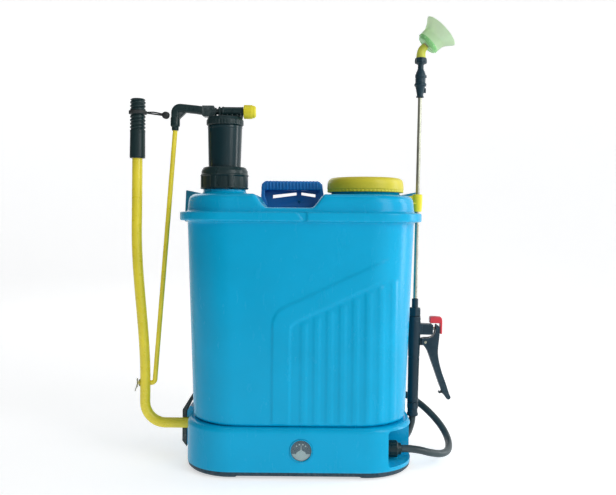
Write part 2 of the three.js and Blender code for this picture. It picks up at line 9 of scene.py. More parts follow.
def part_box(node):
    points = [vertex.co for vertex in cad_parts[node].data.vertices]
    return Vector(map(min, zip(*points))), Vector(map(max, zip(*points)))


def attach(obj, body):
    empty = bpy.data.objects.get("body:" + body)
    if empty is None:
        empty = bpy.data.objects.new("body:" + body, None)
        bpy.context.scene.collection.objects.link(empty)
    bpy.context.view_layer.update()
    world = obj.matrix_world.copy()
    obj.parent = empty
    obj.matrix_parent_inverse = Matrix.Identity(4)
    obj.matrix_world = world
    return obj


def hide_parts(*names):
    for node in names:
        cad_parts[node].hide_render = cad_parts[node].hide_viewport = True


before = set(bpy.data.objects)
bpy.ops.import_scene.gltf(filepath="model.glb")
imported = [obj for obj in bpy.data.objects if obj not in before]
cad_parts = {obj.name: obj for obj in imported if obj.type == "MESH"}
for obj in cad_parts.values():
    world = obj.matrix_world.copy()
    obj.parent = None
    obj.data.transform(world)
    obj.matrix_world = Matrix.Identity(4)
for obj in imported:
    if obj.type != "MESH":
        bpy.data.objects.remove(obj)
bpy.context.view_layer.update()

# A backpack sprayer on a pale studio floor. Metres, +Z up, the tank's outer face towards -Y.


# ---- the frame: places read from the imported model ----

def low(node):
    """The lowest corner of a CAD node's box."""
    return Vector(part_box(node)[0])


def high(node):
    """The highest corner of a CAD node's box."""
    return Vector(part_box(node)[1])


def centre(node):
    return (low(node) + high(node)) / 2


def size(node):
    return high(node) - low(node)


# ---- materials ----

class Nodes:
    """A short way to wire a material."""

    def __init__(self, name):
        self.material = bpy.data.materials.new(name)
        self.material.use_nodes = True
        self.tree = self.material.node_tree
        self.shader = self.tree.nodes["Principled BSDF"]
        self.coords = self.tree.nodes.new("ShaderNodeTexCoord").outputs["Object"]

    def add(self, kind, **values):
        node = self.tree.nodes.new(kind)
        for key, value in values.items():
            setattr(node, key, value)
        return node

    def link(self, source, target):
        self.tree.links.new(source, target)

    def noise(self, scale, detail=3.0, roughness=0.55, stretch=(1, 1, 1)):
        mapping = self.add("ShaderNodeMapping")
        mapping.inputs["Scale"].default_value = stretch
        self.link(self.coords, mapping.inputs["Vector"])
        node = self.add("ShaderNodeTexNoise")
        node.inputs["Scale"].default_value = scale
        node.inputs["Detail"].default_value = detail
        node.inputs["Roughness"].default_value = roughness
        self.link(mapping.outputs[0], node.inputs["Vector"])
        return node.outputs["Fac"]

    def ramp(self, source, from_low, from_high, to_low=0.0, to_high=1.0):
        node = self.add("ShaderNodeMapRange")
        node.inputs["From Min"].default_value = from_low
        node.inputs["From Max"].default_value = from_high
        node.inputs["To Min"].default_value = to_low
        node.inputs["To Max"].default_value = to_high
        self.link(source, node.inputs["Value"])
        return node.outputs["Result"]

    def maths(self, operation, first, second):
        node = self.add("ShaderNodeMath", operation=operation)
        for socket, value in zip(node.inputs, (first, second)):
            if isinstance(value, (int, float)):
                socket.default_value = value
            else:
                self.link(value, socket)
        return node.outputs[0]

    def mix(self, factor, first, second, blend="MIX"):
        node = self.add("ShaderNodeMix", data_type="RGBA", blend_type=blend)
        sockets = [s for s in node.inputs if s.type == "RGBA"]
        self.link(factor, node.inputs[0])
        for socket, value in zip(sockets, (first, second)):
            if isinstance(value, tuple):
                socket.default_value = (*value, 1)
            else:
                self.link(value, socket)
        return [s for s in node.outputs if s.type == "RGBA"][0]

    def bump(self, height, strength, distance):
        node = self.add("ShaderNodeBump")
        node.inputs["Strength"].default_value = strength
        node.inputs["Distance"].default_value = distance
        self.link(height, node.inputs["Height"])
        self.link(node.outputs[0], self.shader.inputs["Normal"])
        return node

    def put(self, **values):
        for key, value in values.items():
            socket = self.shader.inputs[key.replace("_", " ")]
            if hasattr(value, "links"):
                self.link(value, socket)
            else:
                socket.default_value = value


def linear(hex_color):
    """A colour as seen on a screen, such as "0099cc", as linear red, green and blue."""
    parts = [int(hex_color[i:i + 2], 16) / 255 for i in (0, 2, 4)]
    return tuple(p / 12.92 if p <= 0.04045 else ((p + 0.055) / 1.055) ** 2.4 for p in parts)


def shade(color, factor):
    """A colour made darker or lighter."""
    return tuple(min(1.0, c * factor) for c in color)


def moulded(name, hex_color, rough=0.3, mottle=0.08, wear_and_crease_shade=0.25, gloss=0.3):
    """Moulded plastic: slight mottling, fine skin, rubbed edges and painted shade in the corners."""
    n = Nodes(name)
    color = linear(hex_color)
    base = n.mix(n.ramp(n.noise(14, 4), 0.3, 0.7), shade(color, 1 - mottle), shade(color, 1 + mottle))
    point = n.add("ShaderNodeNewGeometry").outputs["Pointiness"]
    rubbed = n.maths("MULTIPLY", n.ramp(point, 0.52, 0.60, 0, wear_and_crease_shade), n.ramp(n.noise(220, 3), 0.35, 0.7))
    pale = tuple(c + (0.8 - c) * 0.35 for c in color)
    base = n.mix(rubbed, base, pale)
    # Painted shade: concave corners and creases take a darker copy of the colour, standing in for the shade
    # that falls there.
    base = n.mix(n.ramp(point, 0.48, 0.42, 0, wear_and_crease_shade), base, shade(color, 0.55))
    scuffs = n.ramp(n.noise(60, 6, 0.7, (1, 1, 0.35)), 0.35, 0.75)
    n.put(Base_Color=base, Roughness=n.ramp(scuffs, 0, 1, rough * 0.85, min(1.0, rough * 1.3)),
          IOR=1.5, Specular_IOR_Level=gloss, Coat_Roughness=0.12)
    fine = n.maths("MULTIPLY", n.noise(1400, 2), 0.05)
    waves = n.maths("MULTIPLY", n.noise(35, 2), 0.35)
    n.bump(n.maths("ADD", fine, waves), 0.25, 0.0008)
    return n.material


def painted(name, hex_color, rough=0.28):
    """Powder coat over steel tube: faint orange peel, chips that show darker metal."""
    n = Nodes(name)
    color = linear(hex_color)
    base = n.mix(n.ramp(n.noise(20, 3), 0.3, 0.7), shade(color, 0.9), shade(color, 1.06))
    chips = n.ramp(n.noise(380, 5, 0.75), 0.735, 0.76)
    base = n.mix(chips, base, (0.30, 0.27, 0.12))
    n.put(Base_Color=base, Roughness=n.ramp(n.noise(90, 4), 0.3, 0.7, rough * 0.8, rough * 1.4), IOR=1.5,
          Coat_Weight=0.3, Coat_Roughness=0.1)
    n.bump(n.maths("SUBTRACT", n.maths("MULTIPLY", n.noise(700, 2), 0.2), chips), 0.3, 0.0004)
    return n.material


def steel(name, hex_color="c2c4c2", rough=0.22):
    """Drawn steel tube: fine lines along its length."""
    n = Nodes(name)
    color = linear(hex_color)
    lines = n.noise(2600, 3, 0.6, (1, 1, 0.02))
    base = n.mix(n.ramp(n.noise(40, 4), 0.35, 0.75), shade(color, 0.86), shade(color, 1.05))
    n.put(Base_Color=base, Metallic=1.0, Roughness=n.ramp(lines, 0.3, 0.7, rough * 0.8, rough * 1.5))
    n.bump(lines, 0.08, 0.0002)
    return n.material


def rubber(name, hex_color, rough=0.5):
    """Rubber or PVC: dull bloom, tiny pits."""
    n = Nodes(name)
    color = linear(hex_color)
    bloom = n.ramp(n.noise(30, 5, 0.65), 0.35, 0.75)
    base = n.mix(bloom, shade(color, 0.85), tuple(c + 0.02 for c in shade(color, 1.2)))
    n.put(Base_Color=base, Roughness=n.ramp(bloom, 0, 1, rough * 0.85, min(1.0, rough * 1.25)))
    n.bump(n.noise(1800, 3), 0.12, 0.0003)
    return n.material


def woven(name, hex_color, pitch=0.0014, sheen=0.3):
    """Woven fabric: two crossing thread waves, fuzz and slight fading."""
    n = Nodes(name)
    color = linear(hex_color)
    threads = []
    for axis in (0, 2):
        wave = n.add("ShaderNodeTexWave", wave_type="BANDS", bands_direction="XYZ"[axis])
        wave.inputs["Scale"].default_value = 1 / (pitch * 3.2)
        wave.inputs["Distortion"].default_value = 0.6
        wave.inputs["Detail"].default_value = 1.0
        n.link(n.coords, wave.inputs["Vector"])
        threads.append(wave.outputs["Fac"])
    weave = n.maths("MULTIPLY", threads[0], threads[1])
    base = n.mix(weave, shade(color, 0.7), shade(color, 1.35))
    base = n.mix(n.ramp(n.noise(25, 4), 0.4, 0.8, 0, 0.5), base, shade(color, 1.6))
    n.put(Base_Color=base, Roughness=0.9, Sheen_Weight=sheen, Sheen_Roughness=0.5)
    n.bump(n.maths("ADD", weave, n.maths("MULTIPLY", n.noise(900, 3), 0.5)), 0.5, 0.0006)
    return n.material


def clear(name, hex_color, rough, weight, ior=1.45, cloudy=0.0):
    """See-through plastic. cloudy mixes in milky scatter."""
    n = Nodes(name)
    color = linear(hex_color)
    flow = n.ramp(n.noise(45, 3), 0.3, 0.7)
    n.put(Base_Color=n.mix(flow, shade(color, 0.94), shade(color, 1.04)),
          Roughness=n.ramp(flow, 0, 1, rough, rough * 1.5),
          Transmission_Weight=weight, IOR=ior, Subsurface_Weight=cloudy)
    n.bump(n.noise(160, 2), 0.06, 0.0005)
    return n.material


# ---- shapes ----

UP, ACROSS, INWARD = (0, 0, 1), (1, 0, 0), (0, 1, 0)
# Drawings on a flat: local x, y and z become X, Z and Y, or Y, Z and X.
FACING_FRONT = Matrix(((1, 0, 0, 0), (0, 0, 1, 0), (0, 1, 0, 0), (0, 0, 0, 1)))
FACING_SIDE = Matrix(((0, 0, 1, 0), (1, 0, 0, 0), (0, 1, 0, 0), (0, 0, 0, 1)))
THROUGH = 0.01   # how far a cutter reaches past the plate it goes through
CARVED = 50   # degrees: the sharpest edges only, so that a bore's own facets get no bevel


def keep(name, mesh, material, body="tank", stands_for=(), slot=None, smooth_angle=35):
    """A mesh as a piece that rides on a body. Its slot argument is not used."""
    obj = bpy.data.objects.new(name, mesh)
    bpy.context.scene.collection.objects.link(obj)
    mesh.materials.append(material)
    mesh.shade_smooth()
    mesh.set_sharp_from_angle(angle=math.radians(smooth_angle))
    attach(obj, body)
    if stands_for:
        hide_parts(*stands_for)
    return obj


def mesh_from(name, verts, faces):
    """A mesh with its doubled points joined and its faces turned outwards."""
    mesh = bpy.data.meshes.new(name)
    mesh.from_pydata([tuple(v) for v in verts], [], faces)
    work = bmesh.new()
    work.from_mesh(mesh)
    bmesh.ops.remove_doubles(work, verts=work.verts, dist=1e-7)
    bmesh.ops.recalc_face_normals(work, faces=work.faces)
    work.to_mesh(mesh)
    work.free()
    return mesh


def mm(*points):
    """Points written in millimetres."""
    return [tuple(c / 1000 for c in p) for p in points]


def rounded(profile, radius=0.0006, steps=3, closed=False):
    """A polyline of (r, z) with each corner replaced by a short curve."""
    points = [Vector(p) for p in profile]
    count = len(points)
    out = []
    for i, p in enumerate(points):
        if not closed and i in (0, count - 1):
            out.append(p)
            continue
        before, after = points[i - 1], points[(i + 1) % count]
        reach = min(radius, (before - p).length * 0.45, (after - p).length * 0.45)
        if reach < 1e-5:
            out.append(p)
            continue
        start = p + (before - p).normalized() * reach
        end = p + (after - p).normalized() * reach
        for k in range(steps + 1):
            t = k / steps
            out.append(start * (1 - t) ** 2 + p * 2 * t * (1 - t) + end * t ** 2)
    return out


def quarter(steps):
    """Angles from 0 to a quarter turn."""
    return [math.pi / 2 * k / steps for k in range(steps + 1)]


def frame_of(at, axis):
    """A matrix whose +Z is axis, at a point."""
    turn = Vector(axis).normalized().to_track_quat("Z", "Y").to_matrix().to_4x4()
    return Matrix.Translation(at) @ turn


def turned(name, profile, at=(0, 0, 0), axis=UP, sides=72, soft=0.0006, ring=False, wobble=None):
    """A solid of revolution. wobble(angle, r, z) changes the radius, for ribs and flats."""
    line = rounded(profile, soft, closed=ring)
    place = frame_of(at, axis)
    verts, faces = [], []
    count = len(line)
    for i in range(sides):
        angle = 2 * math.pi * i / sides
        for r, z in line:
            radius = wobble(angle, r, z) if wobble and r > 1e-6 else r
            verts.append(place @ Vector((radius * math.cos(angle), radius * math.sin(angle), z)))
    rows = count if ring else count - 1
    for i in range(sides):
        j = (i + 1) % sides
        for k in range(rows):
            m = (k + 1) % count
            faces.append((i * count + k, j * count + k, j * count + m, i * count + m))
    return mesh_from(name, verts, clean_faces(verts, faces))


def clean_faces(verts, faces):
    """Faces with doubled corners dropped, so poles become triangles."""
    out = []
    for face in faces:
        corners = []
        for index in face:
            if not any((verts[index] - verts[c]).length < 1e-8 for c in corners):
                corners.append(index)
        if len(corners) >= 3:
            out.append(corners)
    return out


def rod(name, radius, start, end, at=(0, 0, 0), axis=UP, sides=32, soft=0.0001):
    """A plain round bar between two heights along axis, which also bores holes."""
    return turned(name, [(0, start), (radius, start), (radius, end), (0, end)], at, axis, sides, soft)


def ring_faces(rows, count):
    """The faces between neighbouring rings of count points."""
    faces = []
    for start in range(0, (rows - 1) * count, count):
        for k in range(count):
            after = (k + 1) % count
            faces.append((start + k, start + after, start + count + after, start + count + k))
    return faces


def lofted(name, rings, close_top=True):
    """A shell through rings of points, closed at its foot."""
    count = len(rings[0])
    faces = [*ring_faces(len(rings), count), tuple(range(count))[::-1]]
    if close_top:
        faces.append(tuple(range((len(rings) - 1) * count, len(rings) * count)))
    return mesh_from(name, [Vector(v) for ring in rings for v in ring], faces)


def smooth_path(points, per=10):
    """Points on a uniform Catmull-Rom curve through the given ones."""
    pts = [Vector(p) for p in points]
    pts = [2 * pts[0] - pts[1], *pts, 2 * pts[-1] - pts[-2]]
    out = []
    for a, b, c, d in zip(pts, pts[1:], pts[2:], pts[3:]):
        for k in range(per):
            t = k / per
            out.append(0.5 * (2 * b + (c - a) * t + (2 * a - 5 * b + 4 * c - d) * t ** 2
                              + (3 * b - a - 3 * c + d) * t ** 3))
    return [*out, pts[-2]]


def domed_end(verts, faces, ring, middle, direction, dome):
    """Closes the end of a bar over a ring of vertices, flat or with a dome."""
    count = len(ring)
    previous = ring
    if dome:
        offsets = [verts[k] - middle for k in ring]
        for step in (1, 2, 3):
            angle = step / 4 * math.pi / 2
            hub = middle + direction * dome * math.sin(angle)
            fresh = list(range(len(verts), len(verts) + count))
            verts += [hub + offset * math.cos(angle) for offset in offsets]
            faces += [(previous[k], previous[(k + 1) % count], fresh[(k + 1) % count], fresh[k])
                      for k in range(count)]
            previous = fresh
    verts.append(middle + direction * dome)
    faces += [(previous[k], previous[(k + 1) % count], len(verts) - 1) for k in range(count)]


def swept(name, path, radius, sides=24, section=None, up=INWARD, dome=0.0):
    """A bar along path. radius may be a function of the fraction along it; section is (x, y) pairs."""
    path = [Vector(p) for p in path]
    if section is None:
        turns = [2 * math.pi * i / sides for i in range(sides)]
        section = [(math.cos(a), math.sin(a)) for a in turns]
    size_at = radius if callable(radius) else (lambda t: radius)
    count = len(section)
    last = len(path) - 1
    tangents = [(path[min(i + 1, last)] - path[max(i - 1, 0)]).normalized() for i in range(len(path))]
    normal = Vector(up) - tangents[0] * Vector(up).dot(tangents[0])
    normal.normalize()
    verts = []
    for i, (p, t) in enumerate(zip(path, tangents)):
        normal = (normal - t * normal.dot(t)).normalized()
        side = t.cross(normal)
        r = size_at(i / last)
        verts += [p + normal * (x * r) + side * (y * r) for x, y in section]
    faces = ring_faces(len(path), count)
    for row, direction in ((0, -1), (last, 1)):
        ring = list(range(row * count, row * count + count))
        domed_end(verts, faces, ring, path[row], tangents[row] * direction, dome)
    return mesh_from(name, verts, faces)


def pillow_section(half_width, half_thick, power=0.42, count=40):
    """Points round a flat rounded bar, half_width along x and half_thick along y."""
    points = []
    for k in range(count):
        angle = 2 * math.pi * (k + 0.5) / count
        c, s = math.cos(angle), math.sin(angle)
        x, y = math.copysign(abs(c) ** power, c), math.copysign(abs(s) ** power, s)
        points.append((half_width * x, half_thick * y))
    return points


def soften(obj, width, segments=3, angle=30):
    """A bevel on the edges sharper than angle."""
    bevel = obj.modifiers.new("bevel", "BEVEL")
    bevel.width = width
    bevel.segments = segments
    bevel.limit_method = "ANGLE"
    bevel.angle_limit = math.radians(angle)
    return obj


def baked(obj):
    """Applies the modifiers of an object to its mesh."""
    bpy.context.view_layer.update()
    graph = bpy.context.evaluated_depsgraph_get()
    mesh = bpy.data.meshes.new_from_object(obj.evaluated_get(graph))
    old = obj.data
    obj.modifiers.clear()
    obj.data = mesh
    bpy.data.meshes.remove(old)
    return obj


def slab(name, outline, depth, place):
    """A polygon in the local XY plane with thickness along local Z, set by a matrix."""
    count = len(outline)
    verts = [place @ Vector((x, y, z)) for z in depth for x, y in outline]
    faces = [tuple(range(count))[::-1], tuple(range(count, 2 * count))]
    faces += [(k, (k + 1) % count, (k + 1) % count + count, k + count) for k in range(count)]
    return mesh_from(name, verts, faces)


def chamfered(a, b, corner):
    """A rectangle in x and z from corner a to corner b, with its four corners cut."""
    return [
        (a.x + corner, a.z), (b.x - corner, a.z), (b.x, a.z + corner), (b.x, b.z - corner),
        (b.x - corner, b.z), (a.x + corner, b.z), (a.x, b.z - corner), (a.x, a.z + corner),
    ]


def block(name, a, b):
    """A box from corner a to corner b."""
    x, y, z = zip(a, b)
    outline = [(x[0], y[0]), (x[1], y[0]), (x[1], y[1]), (x[0], y[1])]
    return slab(name, outline, z, Matrix())


def carve(obj, *cutters):
    """Cuts meshes out of an object."""
    for mesh in cutters:
        cutter = bpy.data.objects.new("cutter", mesh)
        bpy.context.scene.collection.objects.link(cutter)
        boolean = obj.modifiers.new("cut", "BOOLEAN")
        boolean.operation = "DIFFERENCE"
        boolean.solver = "EXACT"
        boolean.object = cutter
        baked(obj)
        bpy.data.objects.remove(cutter)
    return obj


def merged(name, *meshes):
    """Several meshes as one."""
    work = bmesh.new()
    for mesh in meshes:
        work.from_mesh(mesh)
        bpy.data.meshes.remove(mesh)
    out = bpy.data.meshes.new(name)
    work.to_mesh(out)
    work.free()
    return out


def smoothstep(low_edge, high_edge, value):
    """0 below low_edge, 1 above high_edge, and a soft rise between."""
    t = np.clip((value - low_edge) / (high_edge - low_edge), 0, 1)
    return t * t * (3 - 2 * t)


# ---- camera, light and floor ----

def set_camera():
    """A level camera in front of the object, shifted up so that its horizon is above the frame's middle."""
    camera_data = bpy.data.cameras.new("camera")
    camera = bpy.data.objects.new("camera", camera_data)
    bpy.context.scene.collection.objects.link(camera)
    camera_data.lens = 42.9
    camera_data.sensor_width = 36
    camera_data.shift_y = -0.0495
    camera.location = (0.0114, -1.205, 0.394)
    camera.rotation_euler = (math.radians(90), 0, 0)
    camera.rotation_euler.rotate_axis("Z", math.radians(0.5))
    bpy.context.scene.camera = camera


def paper_bowl():
    """A round sweep of pale paper, floor and wall in one, which glows. It is painted greyer and glows less on
    the left wall and on the floor behind the camera: painted shade, so that edges show, which darkens the
    object's left side and lays a dark reflection on its glossy left corner.
    """
    floor_radius, bend, top, sides, sunk = 2.3, 1.4, 3.2, 96, 0.0002
    profile = [(0.3, 0), (1.0, 0), (1.7, 0), (floor_radius, 0)]
    profile += [(floor_radius + bend * math.sin(a), bend - bend * math.cos(a))
                for a in (math.pi / 2 * k / 20 for k in range(1, 21))]
    profile += [(floor_radius + bend, 2.2), (floor_radius + bend, top)]
    turns = [2 * math.pi * k / sides for k in range(sides)]
    verts = [(r * math.cos(a), r * math.sin(a), z - sunk) for r, z in profile for a in turns]
    faces = [*ring_faces(len(profile), sides), tuple(range(sides))]
    mesh = mesh_from("paper_bowl", verts, faces)
    mesh.shade_smooth()
    n = Nodes("white_paper")
    apart = n.add("ShaderNodeSeparateXYZ")
    n.link(n.coords, apart.inputs[0])
    x, y = apart.outputs[0], apart.outputs[1]
    # Painted shade: a dark grey, dimly glowing patch on the left wall and on the floor behind the camera.
    left_wall_shade = n.ramp(x, -2.05, -2.6)
    shade_behind_camera = n.maths("MULTIPLY", n.ramp(y, -0.8, -1.6), n.ramp(x, 1.4, -1.2))
    painted_shade = n.maths("MAXIMUM", left_wall_shade, shade_behind_camera)
    paper = n.mix(n.noise(6, 3), (0.70, 0.70, 0.70), (0.72, 0.72, 0.72))
    n.put(Base_Color=n.mix(painted_shade, paper, (0.30, 0.30, 0.30)), Roughness=0.95, Specular_IOR_Level=0.1,
          Emission_Color=(1, 1, 1, 1), Emission_Strength=n.ramp(painted_shade, 0, 1, 0.56, 0.04))
    mesh.materials.append(n.material)
    bowl = bpy.data.objects.new("paper_bowl", mesh)
    bpy.context.scene.collection.objects.link(bowl)


def studio():
    set_camera()
    paper_bowl()
    world = bpy.data.worlds.new("studio")
    world.use_nodes = True
    world.node_tree.nodes["Background"].inputs[0].default_value = (0.86, 0.93, 1.0, 1)
    world.node_tree.nodes["Background"].inputs[1].default_value = 0.20
    bpy.context.scene.world = world
    bpy.context.scene.view_settings.view_transform = "Standard"

    target = Vector((0, 0, 0.3))
    for name, place, width, height, power in (
        ("key", (1.5, -1.3, 1.3), 0.9, 1.6, 17),
        ("side", (1.7, 0.25, 0.6), 0.4, 1.6, 10),
        ("fill", (-0.8, -2.0, 1.2), 1.0, 1.2, 1.5),
        ("top", (0.0, -0.2, 2.2), 1.6, 1.2, 5),
        ("back", (-0.9, 1.9, 1.4), 1.4, 1.4, 5),
    ):
        data = bpy.data.lights.new(name, "AREA")
        data.shape = "RECTANGLE"
        data.size, data.size_y, data.energy = width, height, power
        light = bpy.data.objects.new(name, data)
        light.location = place
        light.rotation_euler = (target - Vector(place)).to_track_quat("-Z", "Y").to_euler()
        bpy.context.scene.collection.objects.link(light)


studio()

# ---- palette ----

BLUE = moulded("tank_blue", "00a5d3", rough=0.24, mottle=0.04, gloss=0.18)
# Painted shade: the rear wall is the same blue moulding as the tank, coloured as a darker teal copy for the
# shade it stands in.
SHADED_BLUE = moulded("rear_wall_shaded_blue", "0a7a9c", rough=0.4, mottle=0.08)
HANDLE_BLUE = moulded("handle_blue", "0676c0", rough=0.35)
BLACK = moulded("black_plastic", "142c2e", rough=0.3, mottle=0.12, wear_and_crease_shade=0.4)
GLOSS_BLACK = moulded("gloss_black_plastic", "0a2a30", rough=0.16, mottle=0.08, wear_and_crease_shade=0.15, gloss=0.3)
TRAY = moulded("tray_black", "0d3444", rough=0.55, mottle=0.12, wear_and_crease_shade=0.4)
NAVY = moulded("navy_plastic", "12303c", rough=0.34, mottle=0.12, wear_and_crease_shade=0.35)
YELLOW = moulded("yellow_plastic", "e4d836", rough=0.3, mottle=0.06)
LID = moulded("lid_yellow", "cfc436", rough=0.36, mottle=0.07)
RED = moulded("red_plastic", "d63a44", rough=0.3, mottle=0.08)
WHITE = moulded("white_plastic", "dfe4e0", rough=0.4, mottle=0.04)
PAINT = painted("yellow_paint", "efdc30")
STEEL = steel("steel", "a9ab9c")
BRASS = steel("brass", "b08d3f", 0.3)
RUBBER = rubber("rubber", "181f20", 0.6)
HOSE = rubber("hose_rubber", "24383c", 0.38)
DIAL = moulded("dial_face", "4a6270", rough=0.5, mottle=0.05)
LIME = moulded("lime_plastic", "c6c94c", rough=0.35, mottle=0.06)
GREEN = moulded("green_plastic", "8ccf86", rough=0.3, mottle=0.06)
GREEN_CLEAR = clear("green_clear", "d8f0cc", 0.3, 0.6, ior=1.25, cloudy=0.1)
CLEAR = clear("clear_cover", "e8f4f6", 0.04, 0.96, ior=1.3)
FABRIC = woven("pad_fabric", "22282c")
WEBBING = woven("strap_webbing", "1a1e22", pitch=0.0022)
THREAD = woven("sewing_thread", "5c666c", pitch=0.0006, sheen=0.1)


# ---- hose: the same route as the CAD tubes, with its turns behind the tank ----

HOSE_DIAMETER = 0.0115
HOSE_OUT = [
    (0.1614, -0.050, 0.031), (0.173, -0.050, 0.0309), (0.190, -0.0495, 0.0288), (0.208, -0.0455, 0.0236),
    (0.2255, -0.035, 0.0188), (0.239, -0.018, 0.0175), (0.2463, 0.0035, 0.0208), (0.247, 0.026, 0.029),
    (0.241, 0.047, 0.0405), (0.229, 0.066, 0.0535), (0.213, 0.082, 0.0665), (0.195, 0.095, 0.077),
    (0.177, 0.1045, 0.083), (0.160, 0.1095, 0.0805), (0.145, 0.1123, 0.071), (0.1325, 0.114, 0.0565),
    (0.121, 0.115, 0.041), (0.109, 0.1153, 0.0265), (0.0955, 0.1148, 0.0148), (0.080, 0.1132, 0.0085),
    (0.056, 0.1121, 0.0062),
]
HOSE_BACK = [
    (0.0937, 0.1583, 0.0255), (0.0996, 0.1452, 0.0228), (0.1092, 0.1343, 0.019), (0.122, 0.1273, 0.015),
    (0.137, 0.1247, 0.0112), (0.151, 0.123, 0.0084), (0.163, 0.118, 0.0068), (0.173, 0.1085, 0.0066),
    (0.1795, 0.0972, 0.0076), (0.1832, 0.0848, 0.0102), (0.1851, 0.0722, 0.0156), (0.1868, 0.061, 0.0238),
    (0.1888, 0.0522, 0.0345), (0.191, 0.0462, 0.047), (0.1919, 0.045, 0.0568),
]


def hose_route():
    """From the base outlet, round the coil and up to the lance."""
    middle = centre("hose_coil")
    radius = 0.058
    turns = 1.75
    steps = 36
    coil = []
    for i in range(steps + 1):
        angle = -math.pi / 2 - 2 * math.pi * turns * i / steps
        z = HOSE_DIAMETER / 2 + HOSE_DIAMETER * turns * i / steps
        coil.append((middle.x + radius * math.cos(angle), middle.y + radius * math.sin(angle), z + 0.0002))
    return smooth_path([*HOSE_OUT, *coil, *HOSE_BACK], 6)


def hose():
    route = hose_route()
    mesh = swept("hose", route, HOSE_DIAMETER / 2, sides=20, up=UP)
    obj = keep("hose", mesh, HOSE, stands_for=("hose_out", "hose_coil", "hose_back"))


hose()


# ---- tank ----

TANK_HALF = 0.181
RIM_LOW, RIM_HIGH = 0.387, 0.401


def tank_outline(half_width, front, back, front_radius, back_radius, bulge=0.0):
    """Points round the plan of the tank, the same number at each height."""
    points = []

    def straight(a, b, count):
        points.extend(Vector(a).lerp(Vector(b), i / count) for i in range(count))

    def corner(cx, cy, radius, start, count):
        for i in range(count):
            angle = start + math.pi / 2 * i / count
            points.append(Vector((cx + radius * math.cos(angle), cy + radius * math.sin(angle))))

    inner_front, inner_back = half_width - front_radius, half_width - back_radius
    low_y, high_y = front + front_radius, back - back_radius
    straight((-inner_front, front), (inner_front, front), 150)
    corner(inner_front, low_y, front_radius, -math.pi / 2, 60)
    straight((half_width, low_y), (half_width, high_y), 30)
    corner(inner_back, high_y, back_radius, 0, 16)
    straight((inner_back, back), (-inner_back, back), 170)
    corner(-inner_back, high_y, back_radius, math.pi / 2, 16)
    straight((-half_width, high_y), (-half_width, low_y), 30)
    corner(-inner_front, low_y, front_radius, math.pi, 60)
    out = np.array([tuple(p) for p in points])
    out[:, 1] -= bulge * np.clip(1 - (out[:, 0] / half_width) ** 2, 0, 1) * (out[:, 1] < low_y)
    return out


def at_height(outline, z):
    """A plan outline as a ring of points at one height."""
    return np.column_stack([outline, np.full(len(outline), z)])


def soft_min(a, b, radius):
    """The smaller of two values, with a rounded corner where they meet."""
    h = np.clip(0.5 + 0.5 * (b - a) / radius, 0, 1)
    return b * (1 - h) + a * h - radius * h * (1 - h)


def front_relief(x, z):
    """How far the front stands out: a raised border that turns along a slant, and flutes inside it."""
    slope = 0.47
    run = math.hypot(1, slope)
    outer_x, outer_z, outer_turn = -0.041, 0.2495, 0.020
    inner_x, inner_z, inner_turn = -0.014, 0.2320, 0.012
    outer = soft_min(x - outer_x, (outer_z + slope * (x - outer_x) - z) / run, outer_turn)
    inner = soft_min(x - inner_x, (inner_z + slope * (x - inner_x) - z) / run, inner_turn)
    edge = 0.0022
    fade = 1 - smoothstep(0.10, 0.15, x)
    border = (smoothstep(-edge, edge, outer) - smoothstep(-edge, edge, inner)) * fade
    first, pitch, width, first_top = 0.0065, 0.0195, 0.0052, 0.236
    flutes = np.zeros_like(x)
    for k in range(8):
        middle = first + pitch * k
        top = first_top + slope * (middle - first) * 1.02
        flutes += np.exp(-((x - middle) / width) ** 4) * smoothstep(0, 0.006, top - z)
    foot = smoothstep(0.078, 0.086, z)
    border_height, flute_height = 0.0016, 0.0012
    return (border_height * border + flute_height * np.clip(flutes, 0, 1)) * foot


def tank_rows():
    """(z, half width, front) up the skin of the tank, from its foot to the shoulder's edge."""
    floor_z, top_z = 0.077, 0.429
    foot_w = 0.169
    rows = []

    def wall(z):
        t = (z - floor_z) / (RIM_LOW - floor_z)
        return foot_w + (TANK_HALF - foot_w) * t, -0.097 - 0.003 * t

    foot_fillet = 0.006
    for k in range(7):
        angle = math.pi / 2 * k / 6
        w, f = wall(floor_z)
        inset = foot_fillet * (1 - math.sin(angle))
        rows.append((floor_z + foot_fillet * (1 - math.cos(angle)), w - inset, f + inset))
    for z in np.arange(floor_z + 0.008, RIM_LOW - 0.004, 0.0021):
        rows.append((z, *wall(z)))
    under = [(0.0, -0.003), (0.0008, -0.0012), (0.003, 0.0), (0.0085, 0.0), (0.0102, 0.0006), (0.011, 0.0024)]
    w, f = wall(RIM_LOW)
    rows += [(RIM_LOW + dz, w + dw, f - dw * 0.64) for dw, dz in under]
    for z in np.arange(RIM_LOW + 0.004, RIM_HIGH - 0.003, 0.0015):
        rows.append((z, 0.192, -0.107))
    over = [(0.011, -0.002), (0.0104, -0.0006), (0.0088, 0.0), (0.003, 0.0), (0.0008, 0.001), (0.0, 0.003)]
    rows += [(RIM_HIGH + dz, TANK_HALF + dw, -0.1 - dw * 0.64) for dw, dz in over]
    for z in np.arange(RIM_HIGH + 0.005, top_z - 0.010, 0.0025):
        t = (z - RIM_HIGH) / (top_z - RIM_HIGH)
        rows.append((z, TANK_HALF - 0.002 * t, -0.1 + 0.002 * t))
    fillet = 0.010
    for k in range(9):
        angle = math.pi / 2 * k / 8
        inset = 0.0015 + fillet * (1 - math.cos(angle))
        rows.append((top_z - fillet + fillet * math.sin(angle), TANK_HALF - inset, -0.1 + inset))
    return rows


def recess_scale(x, y):
    """1 on the domes, less in the carry handle's recess between them."""
    left, right, soft = -0.062, 0.027, 0.011
    inside = smoothstep(left - soft, left + soft, x) * (1 - smoothstep(right - soft, right + soft, x))
    wide = smoothstep(-0.073, -0.069, x) * (1 - smoothstep(0.038, 0.042, x))
    wide *= smoothstep(0.010, 0.016, y) * (1 - smoothstep(0.086, 0.092, y))
    return 1 - 0.75 * np.maximum(inside, wide)


